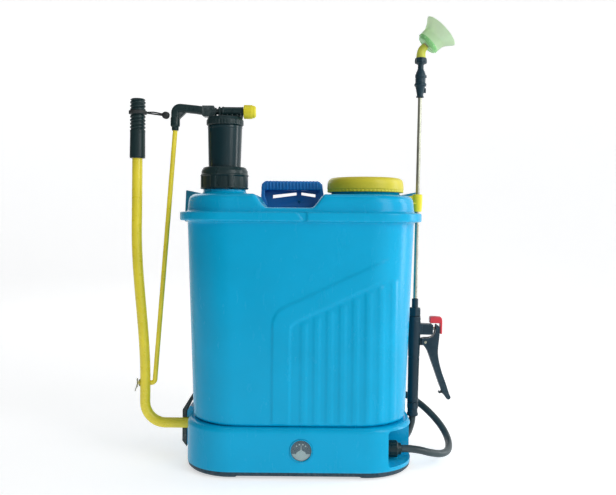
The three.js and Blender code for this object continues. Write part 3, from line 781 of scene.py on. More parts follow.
def tank_shell():
    back, front_radius, back_radius = 0.099, 0.074, 0.024
    rings = []
    for z, width, front in tank_rows():
        drawn_in = max(0.0, TANK_HALF - width) * 0.6
        ring = tank_outline(width, front, back - drawn_in, front_radius, back_radius, bulge=0.003)
        rings.append(at_height(ring, z))
    last = rings[-1]
    spine = last.copy()
    spine[:, 0] = np.clip(last[:, 0], -0.11, 0.11)
    spine[:, 1] = 0
    steps = 26
    rings += [last * (1 - k / steps) + spine * (k / steps) for k in range(1, steps + 1)]
    skin = np.array(rings)
    flat = skin.reshape(-1, 3)
    x, y, z = flat.T
    lean = np.clip((np.abs(x) - (TANK_HALF - front_radius)) / front_radius, 0, 1)
    push = front_relief(x, z) * (y < -0.02) * (z < 0.38)
    flat[:, 0] += push * lean * np.sign(x)
    flat[:, 1] -= push * np.sqrt(1 - lean ** 2)
    notch_left = -0.006 + 0.0085 * (RIM_HIGH - z) / 0.011
    notch = smoothstep(0, 0.0012, x - notch_left) * smoothstep(0, 0.0015, 0.0104 - x)
    flat[:, 1] += 0.0022 * notch * (z > RIM_LOW + 0.0015) * (z < RIM_HIGH + 0.0005) * (y < -0.1)
    shoulder = RIM_HIGH + 0.0002
    above = z > shoulder
    flat[above, 2] = shoulder + (z[above] - shoulder) * recess_scale(x[above], y[above])
    mesh = lofted("tank_shell", skin, close_top=False)
    keep("tank_shell_body", mesh, BLUE, stands_for=("tank_shell",), smooth_angle=50)


tank_shell()


def pump_neck():
    place = centre("pump_ring_nut")
    foot = 0.427
    profile = [(0.031, foot - 0.01), (0.046, foot - 0.004), (0.042, foot + 0.0025), (0.0362, foot + 0.005),
               (0.0344, foot + 0.008), (0.0344, 0.438), (0.031, 0.438)]

    def lines(angle, r, z):
        return r + 0.0005 * max(0.0, math.cos(angle * 12)) ** 6 * (z > foot + 0.004)

    mesh = turned("pump_neck", profile, (place.x, 0, 0), sides=144, soft=0.002, wobble=lines)
    keep("pump_neck", mesh, BLUE, smooth_angle=50)


def filler_neck():
    place = centre("filler_lid")
    profile = mm((50, 400), (64, 424.5), (60.5, 429.5), (56.2, 431.5), (55, 434), (55, 449), (50, 449))
    mesh = turned("filler_neck", profile, (place.x, 0, 0), sides=120, soft=0.002, ring=True)
    keep("filler_neck", mesh, BLUE, smooth_angle=50)


def rear_wall():
    ear, top, dip = 0.205, 0.440, 0.424
    outline = [
        (-ear - 0.002, 0.384), (ear + 0.002, 0.384), (ear, top), (ear - 0.03, top - 0.006),
        (0.06, top - 0.007), (0.035, dip), (-0.070, dip), (-0.095, top - 0.007), (-ear + 0.03, top - 0.006),
        (-ear, top),
    ]
    mesh = slab("rear_wall", outline, (0.0935, 0.102), FACING_FRONT)
    # Its darker teal colour is painted shade on the tank's own blue.
    soften(keep("rear_wall", mesh, SHADED_BLUE, smooth_angle=50), 0.0022, 4)


pump_neck()
filler_neck()
rear_wall()


# ---- base ----

AXLE_Z = 0.055
AXLE_BORE = 0.0089


def base_rings(rows):
    """Rings round the base for rows of (height, inset)."""
    half_width, front, back, front_radius, back_radius = 0.177, -0.105, 0.101, 0.075, 0.024
    rings = []
    for z, inset in rows:
        outline = tank_outline(half_width - inset, front + inset, back - inset, front_radius - inset,
                               back_radius - min(inset, 0.01))
        rings.append(at_height(outline, z))
    return np.array(rings)


def skirt():
    top, fillet_high, fillet_wide = 0.0767, 0.0085, 0.0075
    rows = [(0.0103, 0.0)]
    rows += [(z, 0.0) for z in np.arange(0.014, 0.066, 0.004)]
    for k in range(9):
        angle = math.pi / 2 * k / 8
        rows.append((top - fillet_high + fillet_high * math.sin(angle), fillet_wide * (1 - math.cos(angle))))
    rows.append((top, 0.012))
    obj = keep("base_skirt_shell", lofted("skirt", base_rings(rows)), BLUE, stands_for=("base_skirt",))
    notch = bpy.data.objects.new("notch", block("notch", (0.136, -0.2, 0.016), (0.3, -0.020, 0.0705)))
    bpy.context.scene.collection.objects.link(notch)
    soften(notch, 0.005, 5)
    recess = baked(notch).data.copy()
    bpy.data.objects.remove(notch)
    gauge_at = centre("gauge_bezel")
    hole = rod("gauge_hole", 0.018, -0.13, -0.08, (gauge_at.x, 0, gauge_at.z), INWARD, 72)
    carve(obj, recess, hole, rod("axle_hole", AXLE_BORE, -0.2, -0.16, (0, 0, AXLE_Z), ACROSS, 48))
    obj.data.shade_smooth()
    obj.data.set_sharp_from_angle(angle=math.radians(35))


def tray():
    skin = base_rings(mm((0, 10), (0.4, 8.6), (2.2, 4.5), (5, 1.5), (8.5, 0.3), (10, 0.6)))
    flat = skin.reshape(-1, 3)
    x, y, z = flat.T
    arch = (1 - smoothstep(0.0925, 0.0965, np.abs(x))) * smoothstep(0.036, 0.040, np.abs(y))
    flat[:, 2] = np.maximum(z, 0.0035 * arch)
    keep("base_tray_shell", lofted("tray", skin), TRAY, stands_for=("base_tray",))


skirt()
tray()


# ---- pump ----

ROD_X = -0.2078


def ring_wave(count, depth, sharp, low_z, high_z, soft=0.001):
    """A wobble that sinks count windows into a ring between two heights."""
    def wobble(angle, r, z):
        window = 1 / (1 + math.exp(-sharp * (0.55 + math.cos(angle * count))))
        band = 1 / (1 + math.exp(-(z - low_z) / soft * 4)) / (1 + math.exp((z - high_z) / soft * 4))
        return r - depth * window * band
    return wobble


def pump_ring_nut():
    x = centre("pump_ring_nut").x
    foot, head = low("pump_ring_nut").z, high("pump_ring_nut").z
    outer = size("pump_ring_nut").x / 2
    rise = [(outer, foot + 0.0015 + 0.0014 * k) for k in range(15)]
    profile = [
        (0.0350, foot), (outer - 0.001, foot), *rise, (outer, head - 0.0125), (outer - 0.0016, head - 0.0112),
        (outer - 0.0018, head - 0.006), (outer - 0.0045, head - 0.0012), (0.0335, head), (0.0312, head),
        (0.0312, head - 0.0022), (0.0294, head - 0.0022), (0.0294, head - 0.008), (0.0350, head - 0.014),
    ]
    windows = ring_wave(8, 0.0014, 14, foot + 0.0025, head - 0.0145)
    mesh = turned("ring_nut", profile, (x, 0, 0), sides=240, soft=0.0007, ring=True,
                  wobble=lambda angle, r, z: windows(angle, r, z) if r > 0.036 else r)
    keep("ring_nut", mesh, BLACK, stands_for=("pump_ring_nut",))


def air_chamber():
    x = centre("air_chamber").x
    foot, head = low("air_chamber").z, high("air_chamber").z
    wide = size("air_chamber").x / 2
    narrow = wide - 0.0022
    nut_top = high("pump_ring_nut").z
    profile = [
        (0, head), (wide - 0.0008, head), (wide, head - 0.001), (wide, head - 0.004),
        (wide - 0.0004, head - 0.005), (narrow, nut_top), (narrow, foot), (narrow - 0.003, foot),
        (narrow - 0.003, head - 0.006), (0, head - 0.006),
    ]
    mesh = turned("chamber", profile, (x, 0, 0), sides=120, soft=0.0006)
    keep("chamber_tube", mesh, GLOSS_BLACK, "chamber", ("air_chamber",))


def chamber_cap():
    x = centre("air_chamber").x
    foot = low("chamber_cap").z
    top = foot + 0.014
    axle_z = centre("arm_nut").z
    radius = 0.0303
    profile = [
        (0, foot), (radius - 0.001, foot), (radius, foot + 0.001), (radius, foot + 0.0085),
        (radius - 0.001, foot + 0.0098), (radius - 0.0022, foot + 0.0125), (radius - 0.004, top), (0, top),
    ]

    def grips(angle, r, z):
        return r - 0.0006 * (math.cos(angle * 36) > 0.2) * (foot + 0.0012 < z < foot + 0.0082) * (r > 0.029)

    cap = turned("cap", profile, (x, 0, 0), sides=288, soft=0.0006, wobble=grips)
    barrel = turned("barrel", mm(
        (0, 0), (7.2, 0), (8.5, 0.8), (8.5, 3.2), (6.8, 3.6), (6.8, 5.8), (8.5, 6.2), (8.5, 8.6), (7.9, 9.2),
        (7.9, 38.5), (8.4, 39), (8.4, 40.5), (0, 40.5),
    ), (x - 0.011, 0, axle_z), ACROSS, sides=64, soft=0.0004)
    web = block("web", (x - 0.0105, -0.0048, top - 0.002), (x + 0.0290, 0.0048, axle_z - 0.002))
    wide, slim = 0.0165, 0.0045
    fins = [
        block("fin", (x + dx, -wide, top - 0.001), (x + dx + 0.0016, wide, top + 0.0035))
        for dx in (-0.004, 0.004, 0.012, 0.020)
    ]
    gusset = [(-wide, top - 0.001), (wide, top - 0.001), (slim, axle_z - 0.001), (-slim, axle_z - 0.001)]
    slopes = [slab("gusset", gusset, (x + dx, x + dx + 0.0018), FACING_SIDE) for dx in (-0.0085, 0.0255)]
    mesh = merged("chamber_cap", cap, barrel, web, *fins, *slopes)
    soften(keep("chamber_top_cap", mesh, BLACK, "chamber", ("chamber_cap",)), 0.0004, 2, CARVED)


def elbow_arm():
    axle_z = centre("arm_nut").z
    hub_x, bend, bend_z = -0.1620, 0.0080, 0.5655
    hub = rod("hub", 0.0066, 0, 0.022, (hub_x, 0, axle_z), ACROSS, 48, 0.0006)
    half = 0.0090
    cheek = slab("cheek", [
        (hub_x - 0.001, axle_z - half + 0.002), (hub_x + 0.002, axle_z - half),
        (hub_x + 0.0165, axle_z - half), (hub_x + 0.0225, axle_z - 0.002), (hub_x + 0.0180, axle_z + half),
        (hub_x - 0.001, axle_z + half),
    ], (-0.0082, 0.0082), FACING_FRONT)
    shaft = rod("shaft", 0.0048, 0, 0.060, (-0.141, 0, axle_z), ACROSS, 32, 0.0006)
    corner = [(ROD_X + bend * (1 - math.sin(a)), 0, bend_z + bend * math.cos(a) - 0.0025) for a in quarter(8)]
    path = [(hub_x + 0.004, 0, axle_z + 0.0008), (hub_x - 0.012, 0, axle_z + 0.0030), *corner,
            (ROD_X, 0, 0.5585), (ROD_X, 0, 0.552)]
    arm = swept("arm", path, lambda t: 0.0070 - 0.0006 * t, section=pillow_section(1, 1, 0.55, 24))
    web = slab("web", [
        (ROD_X, bend_z), (ROD_X + 0.020, bend_z), (ROD_X + 0.011, 0.5565), (ROD_X + 0.004, 0.5500),
        (ROD_X, 0.5500),
    ], (-0.0042, 0.0042), FACING_FRONT)
    foot = low("elbow_arm").z
    ferrule = turned("ferrule", [
        (0, foot), (0.0056, foot), (0.0058, foot + 0.0060), (0.0073, foot + 0.0068), (0.0077, foot + 0.0090),
        (0.0077, foot + 0.0205), (0.0066, foot + 0.0225), (0, foot + 0.0225),
    ], (ROD_X, 0, 0), sides=48)
    mesh = merged("elbow_arm", hub, cheek, shaft, arm, web, ferrule)
    soften(keep("rocker_arm", mesh, BLACK, "link", ("elbow_arm",)), 0.0008, 3, CARVED)


def arm_nut():
    left, right = low("arm_nut").x, high("arm_nut").x
    length = right - left
    outer = size("arm_nut").z / 2

    def ribs(angle, r, h):
        return r - 0.0007 * (math.cos(angle * 14) < -0.3) * (r > 0.0105)

    mesh = turned("arm_nut", [
        (0.0052, 0), (outer - 0.0006, 0), (outer, 0.0008), (outer, length - 0.0062),
        (outer - 0.0012, length - 0.0052), (outer - 0.0014, length - 0.0022), (outer - 0.0035, length),
        (0, length), (0, length - 0.003), (0.0052, length - 0.004),
    ], (left, 0, centre("arm_nut").z), ACROSS, sides=168, soft=0.0005, wobble=ribs)
    keep("arm_end_nut", mesh, YELLOW, "link", ("arm_nut",))


def pull_rod():
    top = Vector((ROD_X, 0, 0.5337))
    foot = Vector((-0.2372, 0, 0.126))
    bend, pin_z = 0.006, 0.120
    path = [top.lerp(foot, k / 12) for k in range(12)]
    path += [(foot.x - bend * (1 - math.cos(a)), 0, pin_z + bend - bend * math.sin(a)) for a in quarter(8)]
    path.append((low("link_rod").x + 0.0001, 0, pin_z))
    mesh = swept("pull_rod", path, 0.0039, sides=28)
    keep("pull_rod", mesh, PAINT, "link", ("link_rod",))


def lever_route():
    """Out from the axle, round the bend and up with a slight kick outwards."""
    bend, foot_x, top_x = 0.034, -0.2532, -0.2694
    path = [Vector((x, 0, AXLE_Z)) for x in (-0.1602, -0.172, -0.184, -0.196, -0.208)]
    middle = Vector((foot_x + bend, 0, AXLE_Z + bend))
    path += [middle + Vector((-bend * math.sin(a), 0, -bend * math.cos(a))) for a in quarter(18)]
    start, end, head, steps = 0.122, 0.372, high("lever_tube").z, 59
    for k in range(1, steps + 1):
        z = middle.z + (head - middle.z) * k / steps
        path.append(Vector((foot_x + (top_x - foot_x) * float(smoothstep(start, end, z)), 0, z)))
    return path


def lever():
    mesh = swept("lever", lever_route(), 0.0084, sides=40)
    keep("lever_bar", mesh, PAINT, "lever", ("lever_tube",))
    x = centre("lever_grip").x
    foot, head = low("lever_grip").z, high("lever_grip").z
    wide = size("lever_grip").x / 2 + 0.0008
    crest, hollow = wide - 0.0003, wide - 0.0018
    profile = [(0.0086, foot), (wide - 0.0006, foot), (wide - 0.0002, foot + 0.002),
               (wide - 0.0006, foot + 0.040)]
    for k in range(9):
        z = foot + 0.046 + 0.0058 * k
        profile += [(crest, z - 0.0019), (crest, z - 0.0001), (hollow, z + 0.0011), (hollow, z + 0.0022),
                    (crest, z + 0.0034)]
    profile += [(wide - 0.0004, head - 0.0022), (wide - 0.0022, head - 0.0004), (0, head)]
    mesh = turned("lever_grip", profile, (x, 0, 0), sides=64, soft=0.0005)
    keep("hand_grip", mesh, BLACK, "lever", ("lever_grip",))


def link_pin():
    pin_z = centre("link_pin").z
    left, right = low("link_pin").x, high("link_pin").x
    start = left + 0.0035
    bar = turned("bar", [(0, 0), (0.0032, 0), (0.0039, 0.0008), (0.0039, right - start), (0, right - start)],
                 (start, 0, pin_z), ACROSS, sides=28, soft=0.0003)
    keep("hook_end", bar, PAINT, "lever", ("link_pin",), "steel")
    washer = turned("washer", mm((4.1, 0), (6.2, 0), (6.2, 1), (4.1, 1)),
                    (left + 0.0052, 0, pin_z), ACROSS, sides=40, soft=0.0002, ring=True)
    keep("hook_washer", washer, STEEL, "lever")


def split_pin():
    x, eye = -0.2664, 0.0020
    pin_z = centre("link_pin").z
    loop = [(x, eye * math.sin(a), pin_z + 0.0045 + eye * math.cos(a))
            for a in (math.radians(d) for d in range(-150, 151, 25))]
    first = [(x - 0.0030, -0.0030, pin_z - 0.0135), (x - 0.0016, -0.002, pin_z - 0.009),
             (x - 0.0003, -0.0005, pin_z - 0.003)]
    last = [(x + 0.0002, 0.0006, pin_z - 0.003), (x - 0.0004, 0.002, pin_z - 0.006),
            (x - 0.0010, 0.0035, pin_z - 0.0085)]
    mesh = swept("split_pin", smooth_path([*first, *loop, *last], 4), 0.00085, sides=12)
    keep("split_pin", mesh, STEEL, "lever", ("cotter_pin",))


def storage_strap():
    x = centre("lever_grip").x
    ring = turned("ring", mm((11.8, 560.2), (14.6, 560.2), (14.6, 565.8), (11.8, 565.8)), (x, 0, 0),
                  sides=64, soft=0.0008, ring=True)
    ball_x, ball_z = -0.2236, 0.559
    strands = []
    for side in (-1, 1):
        route = [(x + 0.0125, side * 0.0052, 0.563 + side * 0.0012),
                 (x + 0.026, side * 0.0040, 0.5622 + side * 0.0019),
                 (ball_x - 0.004, side * 0.0012, ball_z + 0.0006 + side * 0.0011)]
        strands.append(swept("strand", smooth_path(route, 8), 0.0012, sides=12))
    ball = turned("ball", mm(
        (0, -6.6), (3.6, -6), (5.8, -3.4), (6.2, 0.4), (5.2, 3.8), (3.4, 5.2), (2.6, 6.2), (0, 6.4),
    ), (ball_x, 0, ball_z), (-0.96, 0, 0.28), sides=40, soft=0.002)
    mesh = merged("strap", ring, ball, *strands)
    keep("grip_strap", mesh, RUBBER, "lever", ("storage_strap",), smooth_angle=60)


def lever_bracket():
    width = size("base_skirt").x / 2
    outer = -low("lever_bracket").x
    foot, head = low("lever_bracket").z, high("lever_bracket").z
    plate = [
        (-outer + 0.0075, foot), (-outer, foot + 0.010), (-outer, 0.076), (-0.1728, head),
        (-0.1712, head - 0.006), (-0.1800, 0.0835), (-0.1845, 0.074), (-0.1845, foot + 0.003),
    ]
    boss = [
        (-0.1842, foot + 0.004), (-0.1842, 0.074), (-0.1792, 0.0825), (-width + 0.004, 0.0800),
        (-width + 0.0005, 0.070), (-width + 0.0005, foot + 0.004),
    ]
    bracket = keep("bracket", slab("plate", plate, (0.0005, 0.0255), FACING_FRONT), BLACK,
                   stands_for=("lever_bracket",))
    soften(bracket, 0.0012, 3)
    lining = keep("bracket_boss", slab("boss", boss, (0.0015, 0.0245), FACING_FRONT), BLUE)
    for obj in (bracket, lining):
        carve(obj, rod("groove", AXLE_BORE, -0.22, -0.15, (0, 0, AXLE_Z), ACROSS, 48))


pump_ring_nut()
air_chamber()
chamber_cap()
elbow_arm()
arm_nut()
pull_rod()
lever()
link_pin()
split_pin()
storage_strap()
lever_bracket()


# ---- battery gauge and switch panel ----

def gauge():
    middle = centre("gauge_bezel")
    face_y = low("gauge_bezel").y
    dial_y = face_y + 0.0036
    bore, dial_radius = 0.0157, 0.0156
    bezel = turned("bezel", [
        (bore, 0.0052), (bore, 0.0006), (0.0162, 0), (0.0172, 0.0002), (0.0176, 0.0012), (0.0176, 0.0105),
        (bore, 0.0105),
    ], (middle.x, face_y, middle.z), INWARD, sides=96, soft=0.0004, ring=True)
    keep("bezel", bezel, BLUE, stands_for=("gauge_bezel",), slot="handle_blue")
    dial = rod("dial", dial_radius, 0, 0.0012, (middle.x, dial_y, middle.z), INWARD, 72)
    keep("dial", dial, DIAL, stands_for=("gauge_dial",))
    print_at = Vector((middle.x, dial_y - 0.0004, middle.z))
    field = [(0.0146 * math.cos(a), 0.0146 * math.sin(a))
             for a in (math.radians(200 + 140 * k / 24) for k in range(25))]
    field += [(0.0072 * math.cos(a), -0.0054 + 0.0052 * math.sin(a))
              for a in (math.pi * k / 12 for k in range(13))]
    pale = slab("field", field, (-0.0004, 0.0004), Matrix.Translation(print_at) @ FACING_FRONT)
    marks = []
    for degrees in (-46, -17, 17, 46):
        angle = math.radians(90 + degrees)
        at = print_at + Vector((0.0092 * math.cos(angle), 0, 0.0092 * math.sin(angle)))
        marks.append(rod("mark", 0.0011, 0, 0.0005, at, INWARD, 16))
    ridges = [
        block("ridge", (middle.x + 0.0019 * k - 0.0004, dial_y - 0.0010, middle.z - 0.0108),
              (middle.x + 0.0019 * k + 0.0004, dial_y - 0.0006, middle.z - 0.0072))
        for k in (-2, -1, 0, 1, 2)
    ]
    keep("dial_marks", merged("marks", pale, *marks, *ridges), WHITE)
    needle_at = Vector((middle.x, dial_y - 0.0014, middle.z))
    needle = mm((-1.2, -3), (1.2, -3), (0.7, 1.5), (0.2, 9.8), (-0.2, 9.8), (-0.7, 1.5))
    hub = turned("hub", mm((0, -0.6), (1.6, -0.4), (1.8, 0.6), (0, 0.6)), needle_at, INWARD,
                 sides=32, soft=0.0002)
    arm = slab("arm", needle, (-0.0002, 0.0002), Matrix.Translation(needle_at) @ FACING_FRONT)
    keep("needle_arm", merged("needle", hub, arm), WHITE, "needle", ("gauge_needle",), "red_plastic")
    lens = turned("lens", mm((0, -0.8), (8, -0.5), (15.5, 0.4), (15.5, 0.9), (0, 0.2)),
                  (middle.x, face_y + 0.0007, middle.z), INWARD, sides=72, soft=0.0004)
    keep("gauge_cover", lens, CLEAR, stands_for=("gauge_lens",))


def power_rocker():
    middle = centre("power_switch")
    half = size("power_switch") / 2
    half_y, half_z = half.y - 0.0002, half.z - 0.0002
    foot, top = low("power_switch").x, high("power_switch").x
    outline = [(-half_y, foot), (half_y, foot), (half_y, top), (half_y * 0.5, top - 0.0008),
               (0, top - 0.0010), (-half_y * 0.5, top - 0.0008), (-half_y, top)]
    place = Matrix(((0, 1, 0, 0), (1, 0, 0, middle.y), (0, 0, 1, middle.z), (0, 0, 0, 1)))
    mesh = slab("rocker", outline, (-half_z, half_z), place)
    soften(keep("rocker", mesh, RED, "switch", ("power_switch",)), 0.0005, 3)


def charge_cover():
    start, middle = low("charge_cap").x, centre("charge_cap")
    cover = turned("cover", mm(
        (0, 0.4), (5, 0.4), (5.4, 1), (5.6, 2), (7.9, 2.2), (7.9, 3), (7, 3.6), (4.8, 3.4), (0, 3.4),
    ), (start, middle.y, middle.z), ACROSS, sides=64, soft=0.0003)
    tab = block("tab", (start + 0.0022, middle.y - 0.0088, middle.z - 0.0028),
                (start + 0.0032, middle.y - 0.0065, middle.z + 0.0028))
    keep("charge_cover", merged("cover", cover, tab), RUBBER, "charge_flap", ("charge_cap",))


def side_panel():
    a, b = low("switch_panel"), high("switch_panel")
    cap, rocker = centre("charge_cap"), centre("power_switch")
    outline = [(a.y, a.z), (b.y, a.z), (b.y, b.z), (a.y, b.z)]
    plate = keep("side_panel", slab("panel", outline, (a.x, b.x), FACING_SIDE), BLACK,
                 stands_for=("switch_panel",))
    window = block("window", (a.x - THROUGH, rocker.y - 0.010, rocker.z - 0.008),
                   (b.x + THROUGH, rocker.y + 0.010, rocker.z + 0.008))
    socket = rod("socket", 0.0065, -THROUGH, THROUGH, (a.x, cap.y, cap.z), ACROSS, 40)
    soften(carve(plate, window, socket), 0.0009, 3, CARVED)
    screws = [
        turned("screw", mm((0, 0.6), (1.8, 0.4), (2, 0), (0, 0)), (b.x, y, z), ACROSS, sides=24,
               soft=0.0001)
        for y in (a.y + 0.0045, b.y - 0.0035) for z in (a.z + 0.0045, b.z - 0.0045)
    ]
    keep("panel_screws", merged("screws", *screws), STEEL)
    power_rocker()
    charge_cover()


# ---- filler lid, handle ----

def filler_lid():
    x = centre("filler_lid").x
    foot, top = low("filler_lid").z, high("filler_lid").z
    outer = size("filler_lid").x / 2
    profile = [
        (outer - 0.0035, foot), (outer - 0.0008, foot), (outer - 0.0002, foot + 0.0014),
        (outer - 0.0006, foot + 0.0042), (outer, foot + 0.0052), (outer - 0.0004, top - 0.0095),
        (outer - 0.0019, top - 0.0042), (outer - 0.0058, top - 0.0010), (outer - 0.0105, top - 0.0001),
        (0.026, top), (0.0245, top - 0.0012), (0, top - 0.0012), (0, top - 0.0045),
        (outer - 0.0042, top - 0.0045),
    ]

    def lugs(angle, r, z):
        return r - 0.0005 * (math.cos(angle * 60) > 0.35) * (r > outer - 0.002) * (z < foot + 0.004)

    mesh = turned("lid", profile, (x, 0, 0), sides=360, soft=0.0012, wobble=lugs)
    keep("screw_lid", mesh, LID, "lid", ("filler_lid",))


def handle_piece(name, mesh, width=None, steps=3, **values):
    """A piece of the carry handle, with a bevel of the given width."""
    obj = keep(name, mesh, HANDLE_BLUE, "handle", **values)
    if width:
        soften(obj, width, steps)
    return obj


def handle_bar(left, right, y, bar_low, bar_high):
    depth = 0.0082
    outline = [
        (left + 0.001, bar_low), (right - 0.001, bar_low), (right - 0.001, bar_low + 0.006),
        (right - 0.004, bar_high - 0.0022), (right - 0.0085, bar_high), (left + 0.0085, bar_high),
        (left + 0.004, bar_high - 0.0022), (left + 0.001, bar_low + 0.006),
    ]
    mesh = slab("bar", outline, (y - depth + 0.0010, y + depth - 0.0004), FACING_FRONT)
    handle_piece("handle_bar", mesh, 0.0026, 4, stands_for=("carry_handle",))
    ribs = []
    count = 16
    first, last = left + 0.0105, right - 0.0105
    front = y - depth
    for k in range(count):
        x = first + (last - first) * k / (count - 1)
        route = [
            (x, front + 0.0014, bar_low + 0.0016), (x, front + 0.0008, bar_low + 0.004),
            (x, front + 0.0008, bar_high - 0.0045), (x, front + 0.0026, bar_high - 0.0016),
            (x, y - 0.0005, bar_high - 0.0004), (x, y + 0.003, bar_high - 0.0006),
        ]
        ribs.append(swept("rib", smooth_path(route, 4), 0.0014, sides=10, dome=0.0008))
    handle_piece("handle_ribs", merged("ribs", *ribs), smooth_angle=60)


def handle_apron(left, right, back, bar_low):
    floor_z = 0.4088
    outline = [
        (left + 0.0095, floor_z), (right - 0.0080, floor_z), (right - 0.0025, floor_z + 0.006),
        (right - 0.0020, bar_low + 0.001), (left + 0.0020, bar_low + 0.001), (left + 0.0025, floor_z + 0.006),
    ]
    plate = handle_piece("handle_apron", slab("apron", outline, (back - 0.0030, back), FACING_FRONT))
    slots = [
        mm((-50, 426.2), (-9, 431.8), (-9, 436.5), (-50, 431.8)),
        mm((-0.5, 432.2), (24, 428.5), (24, 433.6), (-0.5, 436.6)),
    ]
    cutters = [slab("slot", outline, (back - THROUGH, back + THROUGH), FACING_FRONT) for outline in slots]
    hole = rod("hole", 0.0030, -THROUGH, THROUGH, (-0.0045, back, 0.4205), INWARD, 24)
    soften(carve(plate, *cutters, hole), 0.0007, 3, CARVED)


def handle_leg(side, x, end, lean, wall_foot, wall_run):
    """One end of the handle and its pivot stub, which follow the slanting side of the tank's recess."""
    y = centre("carry_handle").y
    bar_high = high("carry_handle").z + 0.0024
    pivot_z = 0.418

    def wall(z):
        """The side of the tank's recess at a height, less a little room."""
        return wall_foot + wall_run * (z - 0.408) / 0.021

    high_z, middle_z, low_z = 0.4285, 0.4215, 0.4135
    outline = [
        (x - lean * 0.0072, bar_high - 0.004), (x - lean * 0.0016, bar_high - 0.0045),
        (wall(high_z), high_z), (wall(middle_z), middle_z), (wall(low_z), low_z),
        (wall(low_z) - lean * 0.0050, low_z), (wall(middle_z) - lean * 0.0060, 0.4225),
        (wall(high_z) - lean * 0.0062, 0.4300),
    ]
    handle_piece("handle_leg_" + side, slab("leg", outline, (y - 0.0066, y + 0.0066), FACING_FRONT), 0.0012)
    start = wall(pivot_z) - lean * 0.001
    stub = rod("stub", 0.0039, 0, abs(end - start), (start, y, pivot_z), (lean, 0, 0), 32, 0.0004)
    handle_piece("handle_stub_" + side, stub)


def carry_handle():
    y = centre("carry_handle").y
    a, b = low("carry_handle"), high("carry_handle")
    left, right = a.x + 0.0005, b.x - 0.0027
    bar_low, bar_high = b.z - 0.0135, b.z + 0.0024
    back = y + 0.0185
    handle_bar(left, right, y, bar_low, bar_high)
    handle_apron(left, right, back, bar_low)
    roof = [(left + 0.0020, 0), (right - 0.0020, 0), (right - 0.0020, 0.0030), (left + 0.0020, 0.0030)]
    shelf_place = Matrix.Translation((0, 0, bar_low + 0.0006)) @ FACING_FRONT
    handle_piece("handle_shelf", slab("shelf", roof, (y + 0.004, back), shelf_place), 0.0007)
    handle_leg("left", left, a.x, -1, -0.0608, -0.009)
    handle_leg("right", right, b.x, 1, 0.0258, 0.013)


gauge()
side_panel()
filler_lid()
carry_handle()


# ---- hose ends, lance and spray head ----

WAND = Matrix.Translation((0.191, 0.045, 0)) @ Matrix.Rotation(0.0155, 4, "Y")
TRIGGER_AXLE = (0.018, 0, 0.184)
VALVE_AXLE = (0, 0, 0.207)


def on_wand(name, mesh, material, body="tank", stands_for=(), slot=None, smooth_angle=35):
    """A piece drawn upright about x = y = 0, stood in the lance's place with its slight lean."""
    mesh.transform(WAND)
    return keep(name, mesh, material, body, stands_for, slot, smooth_angle)


def hexagon(angle, r, flat):
    """A radius cut down to six flats."""
    sector = (angle + math.pi / 6) % (math.pi / 3) - math.pi / 6
    return min(r, flat / math.cos(sector))


def outlet_nut():
    left, right = low("hose_outlet_nut").x, high("hose_outlet_nut").x
    middle = centre("hose_outlet_nut")
    length = right - left
    outer = size("hose_outlet_nut").z / 2

    def grips(angle, r, h):
        return r - 0.0008 * (math.cos(angle * 12) < 0) * (0.002 < h < length - 0.0075) * (r > outer - 0.001)

    mesh = turned("outlet_nut", [
        (0.0059, 0), (outer - 0.001, 0), (outer, 0.001), (outer, length - 0.0070),
        (outer - 0.0012, length - 0.0060), (0.0094, length - 0.0050), (0.0088, length - 0.0005),
        (0.0080, length), (0.0059, length),
    ], (left, middle.y, middle.z), ACROSS, sides=192, ring=True, wobble=grips)
    keep("outlet_nut", mesh, BLACK, stands_for=("hose_outlet_nut",))


def navy_piece(name, mesh, *stands_for):
    """A navy moulding of the lance."""
    return on_wand(name, mesh, NAVY, stands_for=stands_for)


def bottom_nut():
    nut = turned("bottom_nut", mm(
        (6, 58), (8.6, 58), (9.4, 59), (9.6, 62), (8.4, 63.4), (8.4, 70), (9.4, 71.2), (9.8, 79.5), (9, 80.8),
        (6, 80.8),
    ), sides=144, soft=0.0005, ring=True, wobble=lambda a, r, z: hexagon(a, r, 0.0090) if z > 0.0705 else r)
    navy_piece("bottom_nut", nut, "wand_bottom_nut")


def top_nut():
    nut = turned("top_nut", mm(
        (3.7, 227.5), (9.2, 227.5), (10, 228.5), (10, 238.5), (9.2, 240), (9, 241.5), (5.4, 242), (5.4, 256),
        (5, 256.8), (3.7, 256.8),
    ), sides=144, soft=0.0005, ring=True,
        wobble=lambda a, r, z: hexagon(a, r, 0.0090) if 0.228 < z < 0.239 else r)
    navy_piece("top_nut", nut, "wand_top_nut")


